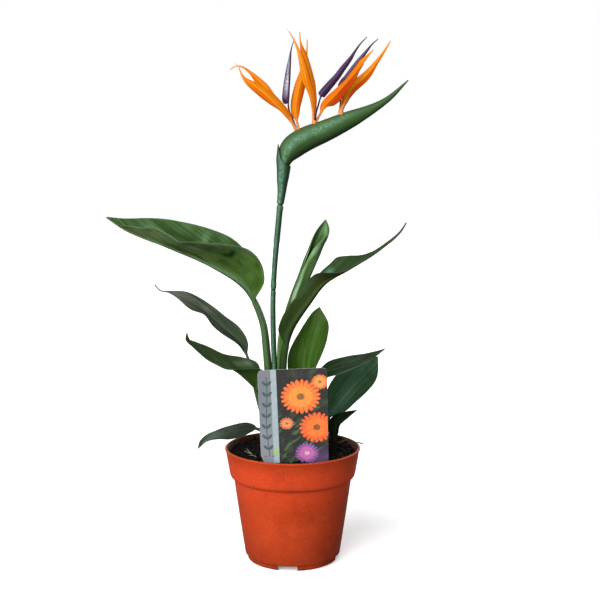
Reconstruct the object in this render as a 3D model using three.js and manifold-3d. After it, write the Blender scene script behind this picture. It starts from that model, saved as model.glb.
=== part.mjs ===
// Potted bird of paradise: a young flowering plant in a nursery pot, in millimetres, +Z up.
// It is modelled round the pot's axis, with the front of the plant towards -Y, and shifted at the
// end so that the middle of its bounding box stands over the origin.
import * as THREE from "three";
import { mergeVertices } from "three/addons/utils/BufferGeometryUtils.js";
import Module from "manifold-3d";

const wasm = await Module();
wasm.setup();

// Driving dimensions
const rimDiameter = 170;
const potHeight = 142;
const bandHeight = 32.5;
const shoulderHeight = 5.5;
const potWall = 1.8;
const footHeight = 6.5;
const soilTop = 148;
const clearance = 0.3;
const bladeThickness = 0.9;
const labelWidth = 84;
const labelThickness = 0.9;

const rimRadius = rimDiameter / 2;
const bandFootRadius = rimRadius - 6;
const wallTopRadius = rimRadius - 11;
const wallFootRadius = rimRadius - 25;
const footRadius = rimRadius - 28.5;
const floorTop = footHeight + 2 * potWall;

const colours = {
  pot: "#cb4c26",
  soil: "#2a2019",
  label: "#4a4650",
  leaf: "#35571f",
  scape: "#3c6b4b",
  spathe: "#45705a",
  sheath: "#5a7a4a",
  sepal: "#e87d14",
  arrow: "#5f4678",
};

// Small helpers

const vec = (p) => new THREE.Vector3(...p);

// Smooth value at t (0 to 1) through equally spaced stations.
function along(stations, t) {
  if (stations.length === 1) return stations[0];
  const place = THREE.MathUtils.clamp(t, 0, 1) * (stations.length - 1);
  const i = Math.min(Math.floor(place), stations.length - 2);
  const f = place - i;
  const p1 = stations[i];
  const p2 = stations[i + 1];
  const p0 = stations[i - 1] ?? 2 * p1 - p2;
  const p3 = stations[i + 2] ?? 2 * p2 - p1;
  const bend = (2 * p0 - 5 * p1 + 4 * p2 - p3) * f * f + (3 * p1 - p0 - 3 * p2 + p3) * f * f * f;
  return p1 + 0.5 * ((p2 - p0) * f + bend);
}

function alongVectors(list, t) {
  return new THREE.Vector3(...[0, 1, 2].map((k) => along(list.map((p) => p[k]), t))).normalize();
}

function meshOf(name, geometry, colour, roughness) {
  const material = new THREE.MeshStandardMaterial({ color: colour, roughness, metalness: 0 });
  const mesh = new THREE.Mesh(geometry, material);
  mesh.name = name;
  return mesh;
}

function geometryOf(points, faces) {
  const geometry = new THREE.BufferGeometry();
  geometry.setAttribute("position", new THREE.Float32BufferAttribute(points.flat(), 3));
  geometry.setIndex(faces.flat());
  return geometry;
}

function solidOf(geometry) {
  const bare = geometry.clone();
  bare.deleteAttribute("normal");
  bare.deleteAttribute("uv");
  const merged = mergeVertices(bare, 1e-3);
  return new wasm.Manifold(
    new wasm.Mesh({
      numProp: 3,
      vertProperties: new Float32Array(merged.attributes.position.array),
      triVerts: new Uint32Array(merged.index.array),
    }),
  );
}

function geometryFrom(solid) {
  const mesh = solid.getMesh();
  const geometry = new THREE.BufferGeometry();
  geometry.setAttribute("position", new THREE.Float32BufferAttribute(mesh.vertProperties, 3));
  geometry.setIndex(Array.from(mesh.triVerts));
  return geometry;
}

// A closed skin over rings that all have the same number of points.
function skin(rings) {
  const n = rings[0].length;
  const faces = [];
  for (let i = 0; i < rings.length - 1; i++) {
    for (let j = 0; j < n; j++) {
      const a = i * n + j;
      const b = i * n + ((j + 1) % n);
      faces.push([a, b, b + n], [a, b + n, a + n]);
    }
  }
  const last = (rings.length - 1) * n;
  for (let j = 1; j < n - 1; j++) {
    faces.push([0, j + 1, j], [last, last + j, last + j + 1]);
  }
  return geometryOf(rings.flat(), faces);
}

const curveOf = (path) => new THREE.CatmullRomCurve3(path.map(vec), false, "centripetal");

// A round or oval tube: half sizes in the plane of the photograph (high) and across it (wide).
function tube(path, high, wide, steps, sides, grow = 0) {
  const curve = curveOf(path);
  const rings = [];
  for (let i = 0; i <= steps; i++) {
    const u = i / steps;
    const forward = curve.getTangentAt(u);
    const across = new THREE.Vector3(0, 1, 0).addScaledVector(forward, -forward.y).normalize();
    const up = new THREE.Vector3().crossVectors(forward, across);
    const centre = curve.getPointAt(u);
    if (i === 0) centre.addScaledVector(forward, -grow);
    const ring = [];
    for (let j = 0; j < sides; j++) {
      const angle = (2 * Math.PI * j) / sides;
      const point = centre.clone();
      point.addScaledVector(up, Math.cos(angle) * (along(high, u) + grow));
      point.addScaledVector(across, -Math.sin(angle) * (along(wide, u) + grow));
      ring.push(point.toArray());
    }
    rings.push(ring);
  }
  return skin(rings);
}

// Blades: a leaf or a sepal is a stalk that widens into a thin sheet folded and curled about its rib.
// rib: points from foot to tip; bladeFrom: where the sheet starts, as a share of the rib's length;
// stalk: the rib's radius at foot, sheet and tip; face: where the upper side looks along the sheet;
// left and right, seen from the foot with the upper side up: width in millimetres, lift and curl in
// degrees; barb: how far the sheet's first corners reach back.
const leafColumns = [-1, -0.55, -0.12, 0, 0.12, 0.55, 1];
const petalColumns = [-1, -0.5, 0, 0.5, 1];
const sheetStart = 0.08;

function bladeRings(leaf, stalkSteps, bladeSteps, columns = leafColumns, grow = 0) {
  const curve = curveOf(leaf.rib);
  const stops = [];
  for (let i = 0; i < stalkSteps; i++) stops.push((leaf.bladeFrom * i) / stalkSteps);
  for (let i = 0; i <= bladeSteps; i++) {
    stops.push(leaf.bladeFrom + ((1 - leaf.bladeFrom) * i) / bladeSteps);
  }
  return stops.map((u) => {
    const b = Math.max(0, (u - leaf.bladeFrom) / (1 - leaf.bladeFrom));
    const flat = THREE.MathUtils.smoothstep(b, 0, sheetStart);
    const forward = curve.getTangentAt(u);
    const right = new THREE.Vector3().crossVectors(forward, alongVectors(leaf.face, b)).normalize();
    const up = new THREE.Vector3().crossVectors(right, forward);
    const [footRadius, neckRadius, tipRadius] = leaf.stalk;
    const onStalk = THREE.MathUtils.lerp(footRadius, neckRadius, Math.min(1, u / leaf.bladeFrom));
    const radius = THREE.MathUtils.lerp(onStalk, tipRadius, Math.sqrt(b)) + grow;
    const upper = [];
    const lower = [];
    for (const c of columns) {
      const half = c < 0 ? leaf.left : leaf.right;
      const round = radius * Math.sin((Math.abs(c) * Math.PI) / 2);
      const spread = Math.max(radius, along(half.width, b)) * Math.abs(c);
      const reach = THREE.MathUtils.lerp(round, spread, flat);
      const lift = THREE.MathUtils.degToRad(along(half.lift, b)) * flat;
      const turn = THREE.MathUtils.degToRad(along(half.curl ?? [0], b)) * flat * Math.abs(c);
      const tilt = lift + turn;
      const bent = Math.abs(turn) > 1e-3;
      const across = bent ? (reach * (Math.sin(tilt) - Math.sin(lift))) / turn : reach * Math.cos(lift);
      const rise = bent ? (reach * (Math.cos(lift) - Math.cos(tilt))) / turn : reach * Math.sin(lift);
      const normal = up.clone().multiplyScalar(Math.cos(tilt));
      normal.addScaledVector(right, -Math.sign(c) * Math.sin(tilt));
      const middle = curve.getPointAt(u);
      middle.addScaledVector(right, Math.sign(c) * across).addScaledVector(up, rise);
      middle.addScaledVector(forward, -(leaf.barb ?? 0) * Math.abs(c) * flat * (1 - b) ** 3);
      const stalkThick = 2 * Math.sqrt(Math.max(0, radius * radius - reach * reach));
      const thick = Math.max(bladeThickness, stalkThick);
      upper.push(middle.clone().addScaledVector(normal, thick / 2).toArray());
      lower.push(middle.clone().addScaledVector(normal, -thick / 2).toArray());
    }
    return [...upper, ...lower.reverse()];
  });
}

// The skin of a blade: its upper and lower faces are split along the same diagonals.
function bladeSkin(rings) {
  const n = rings[0].length;
  const faces = [];
  for (let i = 0; i < rings.length - 1; i++) {
    for (let j = 0; j < n; j++) {
      const a = i * n + j;
      const b = i * n + ((j + 1) % n);
      if (j < n / 2) faces.push([a, b, b + n], [a, b + n, a + n]);
      else faces.push([a, b, a + n], [b, b + n, a + n]);
    }
  }
  const last = (rings.length - 1) * n;
  for (let j = 0; j < n / 2 - 1; j++) {
    const k = n - 1 - j;
    faces.push([j, k, j + 1], [j + 1, k, k - 1]);
    faces.push([last + j, last + j + 1, last + k], [last + j + 1, last + k - 1, last + k]);
  }
  return geometryOf(rings.flat(), faces);
}

// The hole that a stalk stands in: the stalk itself, a little larger.
function holeOf(leaf, stalkSteps) {
  const rings = bladeRings(leaf, stalkSteps, 1, leafColumns, clearance).slice(0, stalkSteps + 1);
  const topRing = rings.findIndex((ring) => Math.min(...ring.map((p) => p[2])) > soilTop);
  if (topRing > 0) rings.length = topRing + 1;
  const drop = vec(leaf.rib[1]).sub(vec(leaf.rib[0])).normalize().multiplyScalar(-clearance);
  rings[0] = rings[0].map((p) => vec(p).add(drop).toArray());
  return solidOf(bladeSkin(rings));
}

// Leaves

const leaves = {
  leaf_01_large_left: {
    rib: [[-24, 8, 100], [-27, 8, 175], [-32, 8, 260], [-38, 7, 303], [-57, 2, 341], [-97, -3, 369],
      [-154, -6, 394], [-203, -7, 414], [-227, -8, 430]],
    bladeFrom: 0.51,
    stalk: [6.5, 4.8, 1],
    face: [[0.3, -0.2, 1], [0.1, -0.2, 1], [0, -0.2, 1]],
    left: {
      width: [3, 38, 46, 42, 35, 26, 14, 0.6],
      lift: [80, 82, 82, 78, 67, 57, 48, 40, 38, 45, 54, 46, 45, 24, 20],
    },
    right: { width: [3, 30, 42, 42, 38, 31, 19, 0.6], lift: [60, 60, 60, 58, 56, 54, 52, 50] },
  },
  leaf_02_dusky_left: {
    rib: [[-33, 18, 100], [-36, 18, 165], [-44, 20, 197], [-51, 24, 225], [-56, 27, 247], [-64, 30, 264],
      [-77, 34, 278], [-92, 38, 290], [-107, 42, 303], [-124, 45, 316], [-141, 47, 327], [-158, 48, 332],
      [-170, 49, 334], [-177, 50, 341]],
    bladeFrom: 0.5,
    stalk: [4, 1.8, 0.8],
    face: [[0, -0.6, 1], [0, -0.6, 1], [0, -0.6, 1]],
    left: { width: [2, 9, 13, 13, 12, 11, 8, 1.7, 0.8], lift: [50, 35, 20, 18, 30, -8, -15, 0, 0] },
    right: { width: [2, 11, 14, 13, 12, 11, 8, 1.7, 0.8], lift: [50, 40, 30, 25, 25, 20, 10, 0, 0] },
  },
  leaf_03_lower_left: {
    rib: [[-32, -6, 100], [-37, -7, 160], [-40, -10, 203], [-45, -13, 218], [-56, -16, 230], [-67, -19, 240],
      [-79, -22, 248], [-95, -25, 258], [-109, -28, 268], [-120, -31, 276], [-127, -33, 282],
      [-128, -34, 291]],
    bladeFrom: 0.49,
    stalk: [4.5, 3, 0.6],
    face: [[0, -0.4, 1], [0, -0.5, 1], [0, -0.5, 1]],
    left: { width: [3, 28, 16, 8, 8, 5, 0.6], lift: [80, 82, 50, -8, -15, -10, 0] },
    right: { width: [3, 26, 22, 14, 11, 6, 0.6], lift: [45, 32, 20, 15, 15, 15, 0] },
  },
  leaf_04_over_left_rim: {
    rib: [[-28, 27, 100], [-30, 28, 135], [-37, 30, 153], [-52, 32, 158], [-67, 33, 156], [-81, 34, 153],
      [-96, 34, 149], [-108, 34, 145], [-116, 33, 140], [-122, 31, 131]],
    bladeFrom: 0.42,
    stalk: [3.5, 2.5, 0.6],
    face: [[0, -0.1, 1], [0, -0.1, 1], [0, -0.1, 1]],
    left: { width: [2.5, 20, 23, 20, 12, 0.6], lift: [-10, -10, -8, 0, 0, 0] },
    right: { width: [2.5, 15, 20, 18, 13, 0.6], lift: [10, 10, 4, 2, 0, 0] },
  },
  leaf_05_rolled: {
    rib: [[-2, 22, 100], [-9, 21, 170], [-15, 19, 225], [-15.8, 19, 255], [-14.3, 21, 278], [-8.8, 26, 300],
      [0.8, 31, 325], [12.2, 33, 352], [22.5, 35, 378], [31.4, 37, 402], [42, 39, 425]],
    bladeFrom: 0.56,
    stalk: [4.8, 4, 0.6],
    face: [[0.3, -1, 0.2], [0.3, -1, 0.2], [0.3, -1, 0.2]],
    left: {
      width: [3, 11, 15, 17, 18, 18, 15, 9, 0.6], lift: [5],
      curl: [100, 118, 120, 120, 115, 110, 100, 75, 40],
    },
    right: {
      width: [3, 17, 27, 31, 32, 32, 31, 23, 0.6], lift: [5],
      curl: [100, 185, 215, 225, 225, 215, 190, 130, 40],
    },
  },
  leaf_06_arching_right: {
    rib: [[-4, 3, 100], [-9, 5, 180], [-13, 6, 242], [-9, 6, 271.5], [-1.8, 3, 291], [7.2, -2, 306.3],
      [18.4, -7, 322.3], [39.8, -12, 350], [69.5, -15, 367.7], [103, -14, 388], [131, -10, 411],
      [139, -8, 423]],
    bladeFrom: 0.43,
    stalk: [6, 5.6, 0.8],
    face: [[-0.4, 0, 1], [-0.2, 0, 1], [0, 0, 1]],
    left: {
      width: [4, 10, 13.5, 14, 14, 14, 14, 14.5, 18.5, 23, 17.4, 9, 4.8, 3.6, 2.4, 1.6, 0.6],
      lift: [60, 70, 80, 85, 85, 85, 80, 66, 56, 54, 52, 50, 46, 43, 40, 40, 40],
    },
    right: {
      width: [4, 13.2, 16.4, 17.6, 17.6, 17, 17.6, 19.6, 17.5, 12, 7, 4.7, 3.2, 2.2, 1.5, 1, 0.6],
      lift: [75, 75, 74, 73, 72, 69, 65, 55, 25, 5, -5, -5, -5, -3, 0, 0, 0],
    },
  },
  leaf_07_short_upright: {
    rib: [[10, 6, 100], [11, 12, 160], [13, 19, 225], [14, 21, 250], [17, 22, 269], [21, 22, 288],
      [26, 21, 303], [34, 19, 316]],
    bladeFrom: 0.43,
    stalk: [5, 3.5, 0.8],
    face: [[0, -1, 0.2], [0, -1, 0.2], [0, -1, 0.2]],
    left: {
      width: [3, 7, 11, 14.5, 17.5, 19.5, 20.5, 20.5, 19.5, 17.5, 15, 12, 9.5, 7, 5, 3.5, 0.6],
      lift: [20, 20, 15, 10, 10, 10, 10],
    },
    right: {
      width: [3, 5.5, 7.8, 9.8, 12, 14.5, 17.2, 20, 22, 23.6, 24.8, 25.4, 25.2, 24.3, 22.6, 18.5, 0.6],
      lift: [20, 20, 15, 10, 10, 10, 10],
    },
  },
  leaf_08_level_right: {
    rib: [[25, -8, 100], [27, -10, 170], [30, -12, 223], [35, -14, 234], [45, -17, 241], [60, -20, 246],
      [74, -23, 251], [89, -26, 257], [103, -28, 265], [113, -29, 271]],
    bladeFrom: 0.56,
    stalk: [4.5, 2.8, 0.6],
    face: [[0, -0.2, 1], [0, -0.2, 1], [0, -0.2, 1]],
    left: { width: [2.5, 14, 18, 17, 11, 0.6], lift: [32, 30, 22, 15, 8, 0] },
    right: { width: [2.5, 13, 17, 16, 10, 0.6], lift: [-15, -12, -5, 0, 0, 0] },
  },
  leaf_09_broad_right: {
    rib: [[40, 12, 100], [41, 13, 145], [46, 16, 178], [58, 18, 197], [73, 20, 215], [87, 22, 229],
      [98, 24, 240], [108, 25, 252]],
    bladeFrom: 0.42,
    stalk: [4.5, 3, 0.6],
    face: [[-0.2, -1, 0.4], [-0.2, -1, 0.4], [-0.2, -1, 0.4]],
    left: { width: [2.5, 16, 22, 22, 14, 0.6], lift: [10, 10, 10, 10, 10, 10] },
    right: { width: [2.5, 16, 20, 22, 18, 0.6], lift: [10, 10, 10, 10, 10, 10] },
  },
  leaf_10_over_right_rim: {
    rib: [[50, -4, 100], [52, -5, 140], [53, -6, 160], [57, -6, 172], [67, -5, 180], [80, -4, 189]],
    bladeFrom: 0.5,
    stalk: [5.5, 4, 0.6],
    face: [[0, -0.3, 1], [0, -0.3, 1], [0, -0.3, 1]],
    left: { width: [2.5, 10, 12, 8, 0.6], lift: [40, 40, 30, 20, 20] },
    right: { width: [2.5, 6, 6, 4, 0.6], lift: [20, 15, 10, 10, 0] },
  },
};

// Flower stem, sheath bract and spathe

const flowerDepth = -4;
const inFlowerPlane = (path) => path.map(([x, z]) => [x, flowerDepth, z]);

const scapePath = inFlowerPlane([[-19, 100], [-21, 202], [-22.4, 245], [-23.6, 277], [-24, 329],
  [-21.4, 376], [-17, 423], [-14.6, 447], [-12.8, 462], [-12, 473]]);
const scapeRadius = [3.6, 3.4, 3.2, 3.2, 3.3, 3.4, 3.3, 3.3, 3.6, 3.7, 3.5];

const spathePath = inFlowerPlane([[-12, 473.4], [-11.6, 482], [-11, 492], [-7.5, 504], [1, 515], [17, 525],
  [37.5, 533.5], [62, 544.5], [98, 561.5], [117, 573.5], [140, 595]]);
const spatheHigh = [3.4, 7.6, 14, 14.8, 13.6, 12.2, 10.2, 7, 4.3, 2.6, 0.7];
const spatheWide = [3.4, 6.2, 9, 9.2, 8.6, 7.8, 6.6, 5.2, 3.6, 2.2, 0.7];

const sheathPath = inFlowerPlane([[-14.8, 446], [-12.8, 462], [-12, 474], [-11.2, 482], [-10.6, 490],
  [-10.2, 500], [-8.8, 508], [-7.4, 517]]);
const sheathRadius = [4.2, 4.9, 5.8, 7.2, 8.2, 9.2, 10, 10.4];
// The bract's slanted mouth, seen from the front: everything to the right of this line is open.
const sheathMouth = [[-17.6, 519], [-16, 512], [-15.2, 506], [-13.6, 500.5], [-11, 497], [-7, 494.3],
  [-3, 492.6], [14, 489], [14, 540], [-17.6, 540]];
const scapeSteps = 24;
const scapeSides = 8;
const spatheSteps = 22;
const spatheSides = 14;
const sheathSteps = 16;
const sheathSides = 14;

const scapeTube = (grow) => tube(scapePath, scapeRadius, scapeRadius, scapeSteps, scapeSides, grow);
const spatheTube = (grow) => tube(spathePath, spatheHigh, spatheWide, spatheSteps, spatheSides, grow);

function sheathSolid() {
  const outline = new THREE.Shape(sheathMouth.map(([x, z]) => new THREE.Vector2(x, z)));
  const mouthDepth = 40;
  const mouth = new THREE.ExtrudeGeometry(outline, { depth: mouthDepth, bevelEnabled: false });
  mouth.rotateX(Math.PI / 2).translate(0, mouthDepth / 2, 0);
  const whole = solidOf(tube(sheathPath, sheathRadius, sheathRadius, sheathSteps, sheathSides));
  const open = whole.subtract(solidOf(mouth));
  return open.subtract(solidOf(spatheTube(clearance))).subtract(solidOf(scapeTube(clearance)));
}

// Florets: three sepals and one arrow of fused petals each, standing on a short base in the spathe.

const sepalStart = 0.09;
const sepalStalk = [1.7, 1.5, 0.5];
const arrowStalk = [0.8, 0.8, 0.5];
const arrowFold = -25;
const arrowBarb = 5;
const petalFace = [[0, -1, 0.2], [0, -1, 0.2], [0, -1, 0.2]];

function sepal(left, right, lift, rib) {
  const sides = { left: { width: left, lift: [lift] }, right: { width: right, lift: [lift] } };
  return { rib, bladeFrom: sepalStart, stalk: sepalStalk, face: petalFace, ...sides };
}

function arrow(left, right, bladeFrom, rib) {
  const sides = { left: { width: left, lift: [arrowFold] }, right: { width: right, lift: [arrowFold] } };
  return { rib, bladeFrom, stalk: arrowStalk, face: petalFace, barb: arrowBarb, ...sides };
}

const florets = {
  floret_1: {
    base: [[7.4, -4, 526], [6.2, -4, 538]],
    sepals: [
      sepal([1.5, 2.3, 2.6, 5.1, 6.7, 6.5, 5.2, 2.1, 0.5], [1.5, 4, 6, 7, 7, 5.6, 3.2, 0.7, 0.5], -18,
        [[5.5, -6.4, 535], [-7, -9, 553], [-21, -12, 567], [-35, -14, 580], [-47, -15, 589],
          [-56, -15, 596], [-61, -14, 603], [-64, -12, 610]]),
      sepal([1.5, 4, 6, 7, 7, 5.4, 2.3, 1.1, 0.5], [1.5, 3.7, 4.2, 4.1, 5.1, 3.2, 1.6, 0.7, 0.5], -18,
        [[4.4, -3.6, 535], [-3, -3, 551], [-14, -2, 565], [-25, 0, 577], [-34, 1, 588], [-43, 1, 598],
          [-52, 1, 606], [-60, 0, 611], [-68, 0, 612], [-75, 0, 608]]),
      sepal([1.5, 5.7, 7, 7, 6.4, 4.7, 2.6, 1, 0.5], [1.5, 5, 6.8, 7.5, 6.9, 5, 2.6, 1, 0.5], -20,
        [[8, -3, 535], [6.5, -1, 542], [4.5, 2, 552], [4, 5, 564], [6, 7, 577], [9, 9, 590],
          [13, 10, 604], [16, 11, 618], [18, 11, 638], [18, 11, 645]]),
    ],
    arrow: arrow([6, 8.6, 8.2, 7.2, 5.9, 4.2, 2.2, 0.8, 0.4], [1.2, 1.3, 1.3, 1.3, 1.3, 1.1, 0.9, 0.6, 0.4], 0.29,
      [[4.2, -1.4, 538.5], [0, 0, 550], [-3.7, 1, 558], [-5, 2, 567], [-4.5, 2, 578], [-4.2, 3, 586],
        [-3.6, 4, 596], [-3, 4, 608], [-2.3, 4, 620], [-1.7, 4, 629], [-0.2, 4, 636.5], [2, 4, 642.2]]),
  },
  floret_2: {
    base: [[27.4, -4, 533], [26.6, -4, 547]],
    sepals: [
      sepal([1.5, 1.6, 2.6, 4.4, 5.2, 3.6, 2, 1.1, 0.5], [1.5, 3.6, 4.6, 4.8, 4.5, 3.6, 2, 1, 0.5], -18,
        [[25.6, -5, 544], [25, -6, 557], [23.6, -8, 569], [21, -9, 581], [17, -10, 594], [14, -10, 607],
          [10, -10, 621], [6, -10, 633], [2, -10, 642], [-4, -10, 652]]),
      sepal([1.5, 3, 4.5, 5, 5, 4.5, 3.6, 1.3, 0.5], [1.5, 1.6, 2.6, 3.8, 3.5, 3.5, 3.4, 1, 0.5], -18,
        [[27, -2.4, 544], [27.4, -2, 557], [28, -3, 570], [26, -3, 583], [23, -3, 597], [20, -3, 609],
          [16, -3, 621], [12, -3, 632], [9.5, -3, 644], [9, -3, 652]]),
      sepal([1.5, 4.4, 6.4, 6.9, 6.9, 6.1, 5.4, 4.3, 3.7, 4, 4.4, 4.6, 4.8, 4.6, 2.8, 1.2, 0.5],
        [1.5, 1.5, 2.6, 7.4, 8.8, 9.2, 8.6, 7.9, 7.6, 7, 5.8, 3.7, 2.2, 1.6, 1.4, 1, 0.5], -20,
        [[28.2, -4, 545], [34.6, -6, 556], [41, -10, 566], [51, -15, 576], [61, -18, 587], [71, -19, 598],
          [80, -18, 609], [89, -17, 621], [97, -16, 630]]),
    ],
    arrow: arrow([4.5, 5.4, 5, 4.3, 3.8, 2.9, 1.6, 0.9, 0.4], [4.5, 5.4, 5, 4.3, 3.8, 2.9, 1.6, 0.9, 0.4], 0.235,
      [[27.6, -6.9, 547.5], [29, -8.4, 557], [31.4, -8, 565], [35.2, -7.5, 577], [42.5, -6, 586.5],
        [54.2, -4, 599.9], [60, -3, 607.9], [70.6, -2, 621.6], [76.2, -2, 630.3], [82.1, -2, 638.3],
        [89.8, -2, 646.2]]),
  },
  floret_3: {
    base: [[60, -4, 547], [58.6, -4, 560]],
    sepals: [
      sepal([1.5, 4.5, 5.8, 6, 5, 3.6, 2.1, 1.3, 0.5], [1.5, 4.2, 5.3, 6, 5.2, 3.2, 2.3, 1.4, 0.5], -18,
        [[58.8, -5.4, 557.5], [62.5, -6.5, 566], [65.5, -7.5, 573.5], [69.5, -8, 580.6], [79.1, -9, 591.2],
          [88.6, -9, 600.1], [95.8, -9, 608.3], [102.9, -9, 618.4], [110, -9, 628.4], [118, -8, 641]]),
      sepal([1.5, 2.6, 3.6, 3.6, 3, 1.4, 0.5], [1.5, 2.6, 3.6, 3.6, 3, 1.4, 0.5], -18,
        [[59.4, -3, 558], [64, -2, 567], [69, 0, 577], [78, 1, 589], [87, 2, 598.5], [94, 2, 607],
          [101, 2, 617]]),
      sepal([1.5, 2.4, 3.2, 3.2, 2.4, 1.2, 0.5], [1.5, 2.4, 3.2, 3.2, 2.4, 1.2, 0.5], -15,
        [[57, -4, 557], [60, -3, 566], [64, -4, 577], [68.5, -4, 587], [73.5, -4, 596], [79.5, -4, 605],
          [86, -4, 614]]),
    ],
    arrow: arrow([4, 4.5, 4.1, 3.7, 3.3, 2.6, 1.8, 0.9, 0.4], [4, 4.5, 4.1, 3.7, 3.3, 2.6, 1.8, 0.9, 0.4], 0.27,
      [[57.6, -1.2, 560.4], [58.6, 2, 570], [57.6, 5, 579], [58.6, 6, 587], [62, 7, 594], [66.8, 7, 600],
        [75, 7, 611.6], [84.3, 7, 623.7], [90, 7, 630.6], [96.5, 7, 638.5], [104, 7, 645]]),
  },
};
const floretBaseRadius = [3.4, 3.7, 3.4];
const floretBaseSides = 10;

function floretBase(floret, grow = 0) {
  return solidOf(tube(floret.base, floretBaseRadius, floretBaseRadius, 2, floretBaseSides, grow));
}

// Pot

const turnSteps = 44;
function lathe(profile) {
  const points = profile.map(([radius, height]) => new THREE.Vector2(radius, height));
  return new THREE.LatheGeometry(points, turnSteps).rotateX(Math.PI / 2);
}

const bandFootHeight = potHeight - bandHeight;
const wallTopHeight = bandFootHeight - shoulderHeight;
const lipRadius = 1.6;
const drainHoles = 6;
const drainHoleRadius = 5;
const drainHoleSides = 16;
const drainCircle = 36;
const footNotches = 4;
const footNotchHeight = 5.8;
const footNotchWidth = 24;
const frontNotchAngle = THREE.MathUtils.degToRad(-95.8);

function potSolid() {
  const lipCentre = [rimRadius - lipRadius, potHeight - lipRadius];
  const lip = [];
  const lipSteps = 4;
  for (let i = 0; i <= lipSteps; i++) {
    const angle = THREE.MathUtils.degToRad(-30 + (180 / lipSteps) * i);
    lip.push([lipCentre[0] + lipRadius * Math.cos(angle), lipCentre[1] + lipRadius * Math.sin(angle)]);
  }
  const profile = [
    [0, footHeight - 1],
    [footRadius - potWall, footHeight - 1],
    [footRadius - potWall, 0],
    [footRadius, 0],
    [footRadius, footHeight],
    [wallFootRadius, footHeight + 0.6],
    [wallTopRadius, wallTopHeight],
    [wallTopRadius + 2, wallTopHeight + 0.8],
    [bandFootRadius - 1, bandFootHeight - 1.4],
    [bandFootRadius, bandFootHeight],
    ...lip,
    [bandFootRadius - potWall, bandFootHeight + 1],
    [wallTopRadius - potWall, wallTopHeight + 1],
    [wallFootRadius - potWall, floorTop],
    [0, floorTop],
  ];
  let pot = solidOf(lathe(profile));
  for (let i = 0; i < drainHoles; i++) {
    const angle = (2 * Math.PI * i) / drainHoles;
    const hole = new THREE.CylinderGeometry(drainHoleRadius, drainHoleRadius, 4 * floorTop, drainHoleSides);
    hole.rotateX(Math.PI / 2).translate(drainCircle * Math.cos(angle), drainCircle * Math.sin(angle), 0);
    pot = pot.subtract(solidOf(hole));
  }
  for (let i = 0; i < footNotches; i++) {
    const angle = frontNotchAngle + (2 * Math.PI * i) / footNotches;
    const notch = new THREE.BoxGeometry(3 * potWall, footNotchWidth, 2 * footNotchHeight);
    notch.translate(footRadius - potWall, 0, 0).rotateZ(angle);
    pot = pot.subtract(solidOf(notch));
  }
  return pot;
}

// Soil

const soilLevel = 133;
const soilHeaps = [
  { centre: [5, 10], height: 8, spread: 46 },
  { centre: [50, 42], height: 8, spread: 24 },
  { centre: [-45, 40], height: 3, spread: 25 },
];

function soilHeight(x, y) {
  let height = soilLevel;
  for (const heap of soilHeaps) {
    const away = Math.hypot(x - heap.centre[0], y - heap.centre[1]) / heap.spread;
    height += heap.height * Math.exp(-away * away);
  }
  const coarse = Math.sin(0.31 * x + 0.17 * y) * Math.cos(0.23 * y - 0.11 * x);
  const fine = 0.6 * Math.sin(0.52 * x - 0.41 * y);
  return height + coarse + fine;
}

function soilSolid() {
  const edge = wallFootRadius - potWall - clearance;
  const ring = (radius, height) => {
    const points = [];
    for (let j = 0; j < turnSteps; j++) {
      const angle = (2 * Math.PI * (j + 0.5)) / turnSteps;
      const x = radius * Math.cos(angle);
      const y = radius * Math.sin(angle);
      points.push([x, y, height ?? soilHeight(x, y)]);
    }
    return points;
  };
  const innerWallTop = wallTopRadius - potWall - clearance;
  const soilEdgeOut = 2.4;
  const topEdge = bandFootRadius + soilEdgeOut - potWall;
  const rings = [
    ring(3, floorTop + clearance),
    ring(edge, floorTop + clearance),
    ring(innerWallTop, wallTopHeight + 1),
    ring(bandFootRadius - potWall - clearance, bandFootHeight + 1 + clearance),
  ];
  for (const share of [1, 0.88, 0.74, 0.6, 0.45, 0.3, 0.15, 0.03]) rings.push(ring(topEdge * share));
  return solidOf(skin(rings));
}

// Label: a card on a spike, stuck in the soil at the front.

const labelTop = 249;
const labelCardHeight = 146;
const labelLeftShoulder = 104;
const labelRightShoulder = 116;
const labelShoulderDrop = 20;
const labelShoulderInset = 8;
const labelDraft = 2.4;
const spikeWidth = 18;
const spikeLength = 20;
const labelCorner = 6;
const labelTilt = THREE.MathUtils.degToRad(2.4);
const labelLean = THREE.MathUtils.degToRad(-3);
const labelPlace = [-0.4, -46, labelTop];

function labelGeometry(grow = 0) {
  const half = labelWidth / 2 + grow;
  const spike = spikeWidth / 2 + grow;
  const shape = new THREE.Shape();
  shape.moveTo(-half + labelCorner, grow);
  shape.absarc(-half + labelCorner, -labelCorner + grow, labelCorner, Math.PI / 2, Math.PI, false);
  shape.lineTo(-half, -labelLeftShoulder);
  shape.lineTo(-half + labelShoulderInset, -labelLeftShoulder - labelShoulderDrop - grow);
  shape.lineTo(-spike, -labelCardHeight - grow);
  shape.lineTo(-spike, -labelCardHeight - spikeLength + spike);
  shape.lineTo(0, -labelCardHeight - spikeLength - grow);
  shape.lineTo(spike, -labelCardHeight - spikeLength + spike);
  shape.lineTo(spike, -labelCardHeight - grow);
  shape.lineTo(half - labelDraft - labelShoulderInset, -labelRightShoulder - labelShoulderDrop - grow);
  shape.lineTo(half - labelDraft, -labelRightShoulder);
  shape.absarc(half - labelCorner, -labelCorner + grow, labelCorner, 0, Math.PI / 2, false);
  const depth = labelThickness + 2 * grow;
  const card = new THREE.ExtrudeGeometry(shape, { depth, bevelEnabled: false, curveSegments: 4 });
  card.translate(0, 0, -depth / 2).rotateX(Math.PI / 2).rotateY(-labelTilt).rotateX(labelLean);
  return card.translate(...labelPlace);
}

// Assembly

const plant = new THREE.Group();
const stalkSteps = 7;
const sheetSteps = 14;
const petalSteps = 8;
const arrowStalkSteps = 3;

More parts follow.
